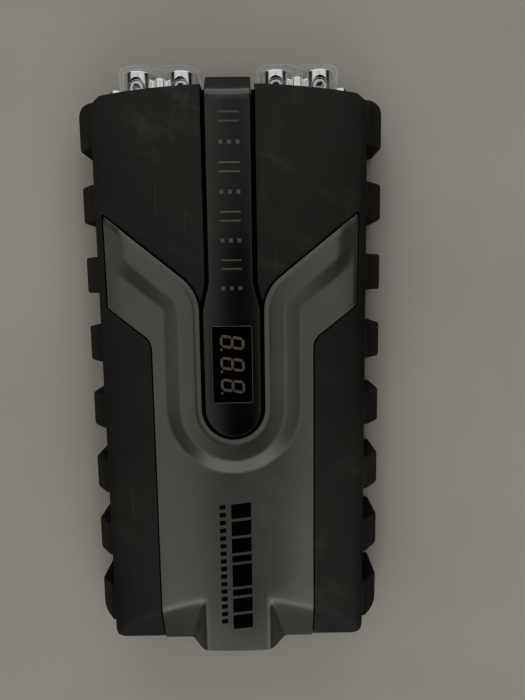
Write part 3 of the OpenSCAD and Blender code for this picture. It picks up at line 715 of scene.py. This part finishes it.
def build_spine(material):
    body = slot_path(SPINE_HALF, POD_HALF, SPINE_HI[1])
    # Two rows of points keep the step under the nose sharp
    step_line = [(x, y) for y in (FRONT_Y + 0.1, FRONT_Y + 0.5) for x in np.linspace(-11.5, 11.5, 12)]
    obj = plate("spine_look", [body, window_loop(0.1, 0.9)[::-1]], spine_top, spine_bottom,
                r=0.7, r_low=0.6, step=1.5, grid=2.0, low_points=np.array(step_line))
    finished(obj, "case", ["spine"], material)


def build_display(lens_material, frame_material):
    lens = plate("display_lens_look", [window_loop(0.0, 0.8)], LENS_HI[2], LENS_LO[2],
                 r=0.25, r_low=0.15, step=4.0, arc=3)
    finished(lens, "case", ["display_lens"], lens_material)
    rim = plate("display_rim", [window_loop(0.75, 1.5), window_loop(0.12, 0.9)[::-1]],
                LENS_HI[2] + 0.42, LENS_HI[2] - 0.8, r=0.22, r_low=0.1, step=2.0, arc=3)
    finished(rim, "case", [], frame_material)


def lobe_outline(x):
    """Upright rounded outline of one lobe of a terminal, in X and Z."""
    up = [(x + LOBE_R * math.cos(a), LOBE_Z + LOBE_R * math.sin(a))
          for a in np.linspace(0, math.pi, 40)]
    low = [(x + LOBE_R * math.cos(a), LOBE_Z - LOBE_DROP + LOBE_R * math.sin(a))
           for a in np.linspace(math.pi, 2 * math.pi, 40)]
    return np.array(up + low)


def build_terminal(name, side, material):
    """Two lobes with cable bores and countersunk set screw holes, and the neck between them."""
    centre = side * (BLOCK_LO[0] + BLOCK_HI[0]) / 2
    front, back = -BLOCK_HI[1], -BLOCK_BACK_Y
    top = LOBE_Z + LOBE_R
    sink = [(0, 33.0), (SET_R, 33.0), (SET_R, top - 2.2), (SET_R + 0.35, top - 1.8),
            (SINK_R, top + 0.1), (SINK_R, 60), (0, 60)]
    parts = []
    for dx in (-BORE_PITCH / 2, BORE_PITCH / 2):
        x = centre + dx
        bore = circle(BORE_R, (x, BORE_Z), 48)[::-1]
        lobe = plate("lobe", [lobe_outline(x), bore], back, front, facing_front,
                     r=0.6, r_low=1.4, step=3.0, arc=6)
        tool = lathe("sink", sink, 64)
        tool.location = (x * MM, SET_Y * MM, 0)
        bpy.context.view_layer.update()
        parts.append(cut(lobe, [tool]))
        plug = plate("bore_end", [circle(BORE_R + 0.3, (x, BORE_Z), 48)], -152.0, -157.0, facing_front,
                     r=0.1, r_low=0.1, step=4, arc=1)
        parts.append(plug)
    neck = rectangle(17.0, 11.6, 1.8, (centre, 34.4))
    parts.append(plate("neck", [neck], back, front + BEAD_BACK + 0.6, facing_front,
                       r=0.3, r_low=1.6, step=3, arc=5))
    bead = circle(BEAD_R, (centre, BEAD_Z), 40)
    parts.append(plate("bead", [bead], back, front + BEAD_BACK, facing_front,
                       r=0.3, r_low=1.4, step=3, arc=5))
    heel = rectangle(37.0, 13.0, 1.0, (centre, 33.5))
    parts.append(plate("heel", [heel], -150.0, back + 0.02, facing_front, r=0.6, r_low=0.1, step=6, arc=2))
    tang = rectangle(19.0, 6.0, 0.8, (centre, 30.0))
    parts.append(plate("tang", [tang], -128.0, -150.5, facing_front, r=0.6, r_low=0.1, step=6, arc=2))
    finished(joined(name + "_look", parts), "case", [name], material)


def hex_loop(r):
    """A hexagonal hole round the origin."""
    return circle(r, n=6)[::-1]


def placed(x, y, z):
    """A turn that moves a plate to (x, y, z)."""
    return lambda u, v, h: (x + u, y + v, z + h)


def build_set_screw(name, material):
    low, high = box_mm(name)
    x, y, z = (low[0] + high[0]) / 2, (low[1] + high[1]) / 2, low[2]
    length, r = high[2] - low[2], (high[0] - low[0]) / 2
    sleeve = plate("body", [circle(r, n=48), hex_loop(2.3)], length, 0.0, placed(x, y, z),
                   r=0.5, r_low=0.4, step=3.0, arc=3)
    bottom = plate("bottom", [circle(2.6, n=24)], 2.2, 0.1, placed(x, y, z),
                   r=0.1, r_low=0.1, step=4, arc=1)
    finished(joined(name + "_look", [sleeve, bottom]), name, [name], material)


def panel_screw_place():
    """X and Z of the right screw of the end panel."""
    return PANEL_SCREWS_HI[0] - WASHER_R, (PANEL_SCREWS_LO[2] + PANEL_SCREWS_HI[2]) / 2


def on_panel(x, z):
    """A turn that stands a plate on the end panel at (x, z), with its low side facing +Y."""
    return lambda u, v, h: (x + u, PANEL_HI[1] - h, z + v)


def build_panel_screws(material):
    x, z = panel_screw_place()
    parts = []
    for side in (-1, 1):
        turn = on_panel(side * x, z)
        head = plate("head", [circle(3.8, n=48), hex_loop(1.9)], -1.0, -4.4, turn,
                     r=0.3, r_low=1.4, step=3.0, arc=6, r_hole=0.15)
        bottom = plate("socket", [circle(2.2, n=24)], -1.0, -2.4, turn, r=0.1, r_low=0.1, step=4, arc=1)
        washer = plate("washer", [circle(WASHER_R, n=48)], 0.0, -0.95, turn,
                       r=0.15, r_low=0.3, step=3.0, arc=3)
        shank = plate("shank", [circle(2.0, n=24)], 10.0, -1.0, turn, r=0.3, r_low=0.1, step=3.0, arc=2)
        parts += [head, bottom, washer, shank]
    finished(joined("panel_screws_look", parts), "case", ["panel_screws"], material)


def build_cover(name, side, material):
    """A clear box with two cable openings, two key holes and a notch for the end panel's screw."""
    low, high = box_mm(name)
    centre = (low[0] + high[0]) / 2
    w, h, mid = high[0] - low[0], high[2] - low[2], (high[2] + low[2]) / 2
    back, front = -low[1], -high[1]
    outer = rectangle(w, h, COVER_R, (centre, mid), 12)
    inner = rectangle(w - 2 * COVER_WALL, h - 2 * COVER_WALL, COVER_R - COVER_WALL, (centre, mid), 12)

    def lobed(height):
        """The front, bulged over each barrel and lower between the two."""
        return lambda x, z: height + COVER_DIP * (1 - smooth_step(np.abs(x - centre), 0.0, DIP_HALF))

    shell = plate(name + "_look", [outer], back, lobed(front), facing_front, r=0.3, r_low=1.6, step=1.5,
                  arc=6, low_points=grid_points([offset(outer, 1.6)], 1.8, 1.2))
    hollow = plate("hollow", [inner], back + 5, lobed(front + COVER_FRONT), facing_front, r=0.2, r_low=1.0,
                   step=1.5, arc=4, low_points=grid_points([offset(inner, 1.0)], 1.5, 1.2))
    tools = [hollow]
    for dx in (-BORE_PITCH / 2, BORE_PITCH / 2):
        x = centre + dx
        tools.append(plate("mouth", [circle(MOUTH_R, (x, BORE_Z), 48)], front + 6, front - 6, facing_front,
                           r=0.1, r_low=0.1, step=6, arc=1))
        tools.append(plate("key_hole", [circle(KEY_HOLE_R, (x, SET_Y), 48)], 60.0, mid,
                           r=0.1, r_low=0.1, step=6, arc=1))
    screw_x, screw_z = panel_screw_place()
    notch = circle(WASHER_R + 0.4, (side * screw_x, screw_z), 48)
    tools.append(plate("relief", [notch], back + 1, -PANEL_SCREWS_HI[1] - 0.3, facing_front,
                       r=0.1, r_low=0.3, step=6, arc=2))
    finished(cut(shell, tools), name, [name], material)


# ---------------------------------------------------------------- printed marks


def decal(name, outlines, surface, material):
    """Thin printed shapes that follow a surface."""
    parts = [plate("mark", [loop], lambda x, y: surface(x, y) + 0.05, lambda x, y: surface(x, y) - 0.1,
                   r=0.02, r_low=0.02, step=2.0, grid=1.8, arc=1) for loop in outlines]
    finished(joined(name, parts), "case", [], material, even=False)


def slanted_bar(x0, x1, y0, y1, lean=1.2):
    """A bar whose right side stands higher by lean."""
    return np.array([(x0, y0), (x1, y0 + lean), (x1, y1 + lean), (x0, y1)])


def build_marks(dark, light):
    """Plain bars on the trim, and bars and squares on the spine."""
    trim_marks, y, gap = [], -79.0, 1.9
    for length in (9.0, 9.0, 9.0, 4.0, 14.0, 4.0, 9.0, 9.0):
        trim_marks.append(slanted_bar(-2.6, 9.2, y - length, y))
        y -= length + gap
    tick_y, tick_pitch, tick_length = -79.6, 4.9, 2.6
    for k in range(16):
        y = tick_y - tick_pitch * k
        trim_marks.append(slanted_bar(-9.6, -6.0, y - tick_length, y, 0.4))
    decal("trim_marks", trim_marks, trim_top, dark)
    spine_marks, x, pitch = [], 0.6, 13.2
    for k in range(8):
        y = 142.0 - pitch * k
        if k % 2:
            spine_marks += [rectangle(2.2, 2.2, 0.0, (x + dx, y)) for dx in (-4.7, 0, 4.7)]
        else:
            spine_marks += [rectangle(11.6, 1.0, 0.0, (x, y + dy)) for dy in (-2.4, 2.4)]
    decal("spine_marks", spine_marks, spine_top, light)


# ---------------------------------------------------------------- materials


class Nodes:
    """A short way to write a material's node tree."""

    def __init__(self, name):
        self.material = bpy.data.materials.new(name)
        self.material.use_nodes = True
        self.tree = self.material.node_tree
        self.shader = self.tree.nodes["Principled BSDF"]
        self.place = self.new("ShaderNodeTexCoord").outputs["Object"]

    def new(self, kind, **values):
        node = self.tree.nodes.new(kind)
        for key, value in values.items():
            setattr(node, key, value)
        return node

    def link(self, source, target):
        self.tree.links.new(source, target)

    def scaled(self, scale, turn=0.0):
        """Coordinates turned about Z and then scaled."""
        turned = self.new("ShaderNodeMapping")
        turned.inputs["Rotation"].default_value = (0, 0, turn)
        node = self.new("ShaderNodeMapping")
        node.inputs["Scale"].default_value = scale
        self.link(self.place, turned.inputs["Vector"])
        self.link(turned.outputs["Vector"], node.inputs["Vector"])
        return node.outputs["Vector"]

    def noise(self, scale, detail=2.0, vector=None, rough=0.5):
        node = self.new("ShaderNodeTexNoise")
        node.inputs["Scale"].default_value = scale
        node.inputs["Detail"].default_value = detail
        node.inputs["Roughness"].default_value = rough
        self.link(vector or self.place, node.inputs["Vector"])
        return node.outputs["Fac"]

    def cells(self, scale):
        node = self.new("ShaderNodeTexVoronoi")
        node.inputs["Scale"].default_value = scale
        self.link(self.place, node.inputs["Vector"])
        return node.outputs["Distance"]

    def ramp(self, value, low, high, out=(0.0, 1.0)):
        node = self.new("ShaderNodeMapRange")
        node.inputs["From Min"].default_value = low
        node.inputs["From Max"].default_value = high
        node.inputs["To Min"].default_value = out[0]
        node.inputs["To Max"].default_value = out[1]
        self.link(value, node.inputs["Value"])
        return node.outputs["Result"]

    def maths(self, kind, a, b):
        node = self.new("ShaderNodeMath", operation=kind)
        for socket, value in zip(node.inputs, (a, b)):
            if isinstance(value, (int, float)):
                socket.default_value = value
            else:
                self.link(value, socket)
        return node.outputs[0]

    def mix(self, fac, a, b):
        node = self.new("ShaderNodeMix", data_type="RGBA")
        self.link(fac, node.inputs["Factor"])
        for key, value in (("A", a), ("B", b)):
            socket = [s for s in node.inputs if s.name == key and s.type == "RGBA"][0]
            if isinstance(value, tuple):
                socket.default_value = (*value, 1)
            else:
                self.link(value, socket)
        return [s for s in node.outputs if s.type == "RGBA"][0]

    def bump(self, height, strength, distance):
        node = self.new("ShaderNodeBump")
        node.inputs["Strength"].default_value = strength
        node.inputs["Distance"].default_value = distance
        self.link(height, node.inputs["Height"])
        return node.outputs["Normal"]

    def set(self, **values):
        """Gives the shader's sockets, named with underscores, their values or links."""
        for key, value in values.items():
            socket = self.shader.inputs[key.replace("_", " ")]
            if hasattr(value, "is_linked"):
                self.link(value, socket)
            else:
                socket.default_value = value


def scratches(n, turn=0.5):
    """Scattered thin scratches in three directions, 0 to 1."""
    total = None
    for k, (along, across) in enumerate(((18, 700), (30, 900), (60, 1400))):
        vector = n.scaled((along, across, along), turn + 1.1 * k)
        line = n.ramp(n.noise(1.0, 0.0, vector), 0.75, 0.82)
        line = n.maths("MULTIPLY", line, n.ramp(n.noise(11.0 + 6 * k, 1.0), 0.54, 0.64))
        total = line if total is None else n.maths("MAXIMUM", total, line)
    return total


def chips(n, spots):
    """Small ragged chips, 0 to 1, round spots that are each a place and a radius."""
    ragged = n.ramp(n.noise(900.0, 2.0), 0.3, 0.7, (0.6, 1.5))
    total = None
    for x, y, z, r in spots:
        far = n.new("ShaderNodeVectorMath", operation="DISTANCE")
        far.inputs[1].default_value = (x * MM, y * MM, z * MM)
        n.link(n.place, far.inputs[0])
        chip = n.ramp(n.maths("MULTIPLY", far.outputs["Value"], ragged), r * MM * 0.8, r * MM, (1.0, 0.0))
        total = chip if total is None else n.maths("MAXIMUM", total, chip)
    return total


def moulded(name, colour, rough=0.5, grain=0.12, wear=(0.3, 0.3, 0.28), dust=0.0, gloss=0.5, scuffs=1.0,
            smears=0.0, spots=()):
    """Moulded or painted plastic: a fine grain, cloudy gloss, dust, smears, light scuffs and chips."""
    n = Nodes(name)
    cloud = n.noise(14.0, 4.0)
    fine = n.noise(420.0, 2.0)
    dark = tuple(c * 0.82 for c in colour)
    pale = tuple(min(1.0, c * 1.18 + 0.002) for c in colour)
    body = n.mix(n.ramp(cloud, 0.3, 0.7), dark, pale)
    specks = n.ramp(n.cells(260.0), 0.0, 0.09, (1.0, 0.0))
    specks = n.maths("MULTIPLY", specks, n.ramp(n.noise(60.0, 1.0), 0.56, 0.66))
    body = n.mix(n.maths("MULTIPLY", specks, dust * 4), body, (0.45, 0.44, 0.4))
    body = n.mix(n.maths("MULTIPLY", n.ramp(n.noise(5.0, 3.0), 0.45, 0.75), dust), body, (0.3, 0.3, 0.28))
    marks = scratches(n)
    body = n.mix(n.maths("MULTIPLY", marks, 0.22 * scuffs), body, wear)
    for k in range(2 if smears else 0):
        wiped = n.ramp(n.noise(1.0, 6.0, n.scaled((16, 55, 16), 0.5 + 1.3 * k), 0.62), 0.54, 0.8)
        wiped = n.maths("MULTIPLY", wiped, n.ramp(n.noise(9.0 + k, 2.0), 0.42, 0.62, (0.0, smears)))
        body = n.mix(wiped, body, (0.4, 0.4, 0.37))
    if spots:
        body = n.mix(chips(n, spots), body, (0.6, 0.6, 0.56))
    roughness = n.ramp(cloud, 0.25, 0.75, (rough - 0.06, rough + 0.07))
    roughness = n.maths("SUBTRACT", roughness, n.maths("MULTIPLY", marks, 0.06 * scuffs))
    height = n.maths("ADD", fine, n.maths("MULTIPLY", n.cells(900.0), 0.8))
    height = n.maths("SUBTRACT", height, n.maths("MULTIPLY", marks, 0.3 * scuffs))
    n.set(Base_Color=body, Roughness=roughness, Normal=n.bump(height, grain, 0.0004))
    n.shader.inputs["Specular IOR Level"].default_value = gloss
    return n.material


def metal(name, colour, rough, brushed=0.0, smear=0.05):
    """Metal with faint handling marks, brushed lines or polish."""
    n = Nodes(name)
    cloud = n.noise(40.0, 4.0)
    body = n.mix(n.ramp(cloud, 0.3, 0.7), tuple(c * 0.93 for c in colour), colour)
    lines = n.noise(1.0, 3.0, n.scaled((60, 60, 3000)))
    roughness = n.ramp(cloud, 0.35, 0.7, (rough, rough + smear))
    height = n.maths("ADD", n.maths("MULTIPLY", lines, brushed), n.maths("MULTIPLY", n.noise(300.0), 0.08))
    n.set(Base_Color=body, Roughness=roughness, Metallic=1.0, Normal=n.bump(height, 0.12, 0.0002))
    return n.material


def clear_plastic():
    """Clear moulded plastic, faintly hazed, with soft scuffs."""
    n = Nodes("clear_plastic")
    haze = n.noise(35.0, 4.0)
    marks = scratches(n, 0.2)
    roughness = n.ramp(haze, 0.3, 0.75, (0.03, 0.1))
    roughness = n.maths("ADD", roughness, n.maths("MULTIPLY", marks, 0.25))
    body = n.mix(n.ramp(haze, 0.3, 0.7), (0.72, 0.75, 0.76), (0.8, 0.81, 0.82))
    edge = n.new("ShaderNodeLayerWeight").outputs["Facing"]
    alpha = n.maths("ADD", n.ramp(haze, 0.3, 0.7, (0.004, 0.014)), n.maths("MULTIPLY", marks, 0.06))
    alpha = n.maths("ADD", alpha, n.ramp(edge, 0.35, 0.95, (0.0, 0.42)))
    n.set(Base_Color=body, Roughness=roughness, Alpha=alpha, Normal=n.bump(haze, 0.05, 0.0005))
    n.shader.inputs["IOR"].default_value = 1.58
    n.material.surface_render_method = "BLENDED"
    return n.material


def smoked_lens():
    """Satin smoked acrylic that shows the unlit digits under it."""
    n = Nodes("smoked_lens")
    haze = n.noise(30.0, 3.0)
    marks = scratches(n, 0.9)
    body = n.mix(n.ramp(haze, 0.3, 0.7), (0.006, 0.004, 0.004), (0.01, 0.006, 0.006))
    body = n.mix(n.maths("MULTIPLY", marks, 0.1), body, (0.2, 0.19, 0.18))
    roughness = n.maths("ADD", n.ramp(haze, 0.3, 0.7, (0.27, 0.34)), n.maths("MULTIPLY", marks, 0.1))
    n.set(Base_Color=body, Roughness=roughness, Alpha=n.ramp(haze, 0.2, 0.8, (0.24, 0.3)),
          Normal=n.bump(haze, 0.03, 0.0005))
    n.shader.inputs["IOR"].default_value = 1.49
    n.shader.inputs["Specular IOR Level"].default_value = 0.2
    n.material.surface_render_method = "BLENDED"
    return n.material


def board(name):
    """Green solder mask with faint tracks."""
    n = Nodes(name)
    tracks = n.ramp(n.cells(420.0), 0.32, 0.38)
    body = n.mix(tracks, (0.012, 0.07, 0.025), (0.02, 0.11, 0.04))
    n.set(Base_Color=body, Roughness=n.ramp(n.noise(60.0), 0.3, 0.7, (0.28, 0.42)),
          Normal=n.bump(tracks, 0.2, 0.0002))
    return n.material


def make_materials():
    """Every material of the scene, by name."""
    return {
        "housing_black": moulded("housing_black", (0.0135, 0.0132, 0.0112), rough=0.55, grain=0.16, dust=0.03,
                                 wear=(0.16, 0.16, 0.145), scuffs=0.55, smears=0.07,
                                 spots=((59.8, -159.6, 48.2, 0.8), (-70.6, -66.0, 53.0, 0.5))),
        "trim_grey": moulded("trim_grey", (0.045, 0.045, 0.04), rough=0.32, gloss=1.0, grain=0.06, dust=0.02,
                             wear=(0.25, 0.25, 0.235), scuffs=0.5, smears=0.06,
                             spots=((-63.7, 77.4, 51.2, 0.7), (17.4, -163.4, 57.5, 0.6))),
        "spine_grey": moulded("spine_grey", (0.006, 0.006, 0.005), rough=0.24, gloss=0.75, grain=0.02,
                              dust=0.01, wear=(0.12, 0.12, 0.11), scuffs=0.4, smears=0.02),
        "rim_grey": moulded("rim_grey", (0.07, 0.068, 0.062), rough=0.35, grain=0.04, dust=0.02),
        "mark_black": moulded("mark_black", (0.003, 0.003, 0.003), rough=0.5, grain=0.05, gloss=0.08,
                              scuffs=0.2),
        "mark_grey": moulded("mark_grey", (0.085, 0.084, 0.08), rough=0.42, grain=0.05, scuffs=0.4),
        "smoked_lens": smoked_lens(),
        "module_black": moulded("module_black", (0.003, 0.002, 0.002), rough=0.5, grain=0.05, gloss=0.2),
        "segment_grey": moulded("segment_grey", (0.42, 0.36, 0.32), rough=0.5, grain=0.05, scuffs=0.0),
        "board_green": board("board_green"),
        "screw_steel": metal("screw_steel", (0.62, 0.62, 0.63), 0.28, 0.3),
        "lead_grey": moulded("lead_grey", (0.3, 0.3, 0.31), rough=0.5, grain=0.1),
        "ceramic_white": moulded("ceramic_white", (0.62, 0.6, 0.53), rough=0.85, grain=0.5),
        "capacitor_blue": moulded("capacitor_blue", (0.015, 0.025, 0.09), rough=0.3, grain=0.03),
        "connector_cream": moulded("connector_cream", (0.65, 0.6, 0.46), rough=0.5, grain=0.05),
        "buzzer_black": moulded("buzzer_black", (0.015, 0.015, 0.015), rough=0.45, grain=0.1),
        "cell_aluminium": metal("cell_aluminium", (0.78, 0.78, 0.8), 0.35, 0.5),
        "winding_dark": moulded("winding_dark", (0.03, 0.03, 0.03), rough=0.8, grain=0.3),
        "sleeve_blue": moulded("sleeve_blue", (0.008, 0.025, 0.14), rough=0.28, grain=0.04),
        "copper": metal("copper", (0.75, 0.36, 0.22), 0.3, 0.5),
        "cradle_black": moulded("cradle_black", (0.02, 0.02, 0.02), rough=0.6, grain=0.2),
        "chrome": metal("chrome", (0.7, 0.7, 0.71), 0.03, 0.0, 0.04),
        "set_screw_steel": metal("set_screw_steel", (0.45, 0.45, 0.46), 0.22, 0.3),
        "clear_plastic": clear_plastic(),
        "screw_black": metal("screw_black", (0.06, 0.06, 0.06), 0.4, 0.3),
    }


# ---------------------------------------------------------------- stage


def room():
    """Soft grey surroundings: a bright ceiling with a long dark patch, dark walls and a dim horizon."""
    world = bpy.data.worlds.new("soft_room")
    world.use_nodes = True
    tree = world.node_tree
    place = tree.nodes.new("ShaderNodeTexCoord").outputs["Generated"]

    def fade(value, stops):
        """Warm grey levels over a value between 0 and 1."""
        ramp = tree.nodes.new("ShaderNodeValToRGB")
        while len(ramp.color_ramp.elements) < len(stops):
            ramp.color_ramp.elements.new(0.5)
        for stop, (height, grey) in zip(ramp.color_ramp.elements, stops):
            stop.position, stop.color = height, (grey, grey * 0.99, grey * 0.965, 1)
        tree.links.new(value, ramp.inputs["Fac"])
        return ramp.outputs["Color"]

    height = tree.nodes.new("ShaderNodeSeparateXYZ")
    tree.links.new(place, height.inputs["Vector"])
    patch = tree.nodes.new("ShaderNodeVectorMath")
    patch.operation = "MULTIPLY_ADD"
    patch.inputs[1].default_value = (2.6, 1.0, 0.0)
    patch.inputs[2].default_value = (-0.1, 0.25, 0.0)
    tree.links.new(place, patch.inputs[0])
    size = tree.nodes.new("ShaderNodeVectorMath")
    size.operation = "LENGTH"
    tree.links.new(patch.outputs["Vector"], size.inputs[0])
    both = tree.nodes.new("ShaderNodeVectorMath")
    both.operation = "MULTIPLY"
    ceiling = fade(height.outputs["Z"], ((0.0, 0.22), (0.14, 0.18), (0.26, 0.03), (0.46, 0.04), (0.55, 0.22),
                                     (0.67, 0.85), (1.0, 0.9)))
    tree.links.new(ceiling, both.inputs[0])
    tree.links.new(fade(size.outputs["Value"], ((0.35, 0.02), (0.75, 1.0))), both.inputs[1])
    tree.links.new(both.outputs["Vector"], tree.nodes["Background"].inputs["Color"])
    bpy.context.scene.world = world


def build_stage():
    """Pale floor, soft light and the camera."""
    n = Nodes("floor_pale")
    tone = n.noise(6.0, 5.0)
    n.set(Base_Color=n.mix(n.ramp(tone, 0.3, 0.7), (0.3, 0.288, 0.268), (0.33, 0.317, 0.295)), Roughness=0.85)
    size, z = 4000.0, -0.05
    corners = [(-size, -size, z), (size, -size, z), (size, size, z), (-size, size, z)]
    floor = mesh("stage_floor", corners, [(0, 1, 2, 3)], smooth=False)
    floor.data.materials.append(n.material)
    bpy.context.scene.view_settings.look = "AgX - High Contrast"

    room()
    for name, spot, aim, size, power in (
            ("far_strip", (-0.1, 1.6, 0.8), (0.0, 0.05, 0.0), (2.2, 0.7), 7.0),
            ("near_strip", (0.1, -1.45, 0.95), (0.0, 0.0, 0.0), (2.2, 0.7), 6.5),
            ("low_strip", (0.0, 1.7, 0.19), (0.0, 0.16, 0.04), (2.4, 0.3), 4.4),
            ("side_fill", (-1.9, 0.1, 0.6), (0.0, 0.0, 0.0), (1.2, 1.2), 2.0)):
        light = bpy.data.lights.new(name, "AREA")
        light.shape, light.size, light.size_y, light.energy = "RECTANGLE", *size, power
        lamp = bpy.data.objects.new(name, light)
        lamp.location = spot
        lamp.rotation_euler = (Vector(aim) - Vector(spot)).to_track_quat("-Z", "Y").to_euler()
        bpy.context.scene.collection.objects.link(lamp)

    data = bpy.data.cameras.new("camera")
    data.sensor_width, data.lens, data.clip_start = 36.0, 27.05, 0.01
    camera = bpy.data.objects.new("camera", data)
    camera.location = (0.0158, 0.0520, 0.3593)
    camera.rotation_euler = tuple(math.radians(a) for a in (-7.188, -0.394, -0.756))
    bpy.context.scene.collection.objects.link(camera)
    bpy.context.scene.camera = camera


def main():
    """Builds the stage, gives every CAD node its material and builds the pieces that replace nodes."""
    build_stage()
    looks = make_materials()
    slots = {row["node"]: row["material_slot"] for row in frame["record"]["subparts"]}
    for node, obj in frame["nodes"].items():
        obj.data.materials.clear()
        obj.data.materials.append(looks[slots[node]])
    build_base(looks["housing_black"])
    build_lid(looks["housing_black"])
    build_trim(looks["trim_grey"])
    build_spine(looks["spine_grey"])
    build_display(looks["smoked_lens"], looks["rim_grey"])
    build_panel_screws(looks["chrome"])
    for side, word in ((1, "positive"), (-1, "negative")):
        build_terminal(word + "_terminal", side, looks["chrome"])
        build_cover(word + "_cover", side, looks["clear_plastic"])
    for k in range(1, 5):
        build_set_screw(f"set_screw_{k}", looks["set_screw_steel"])
    build_marks(looks["mark_black"], looks["mark_grey"])


main()
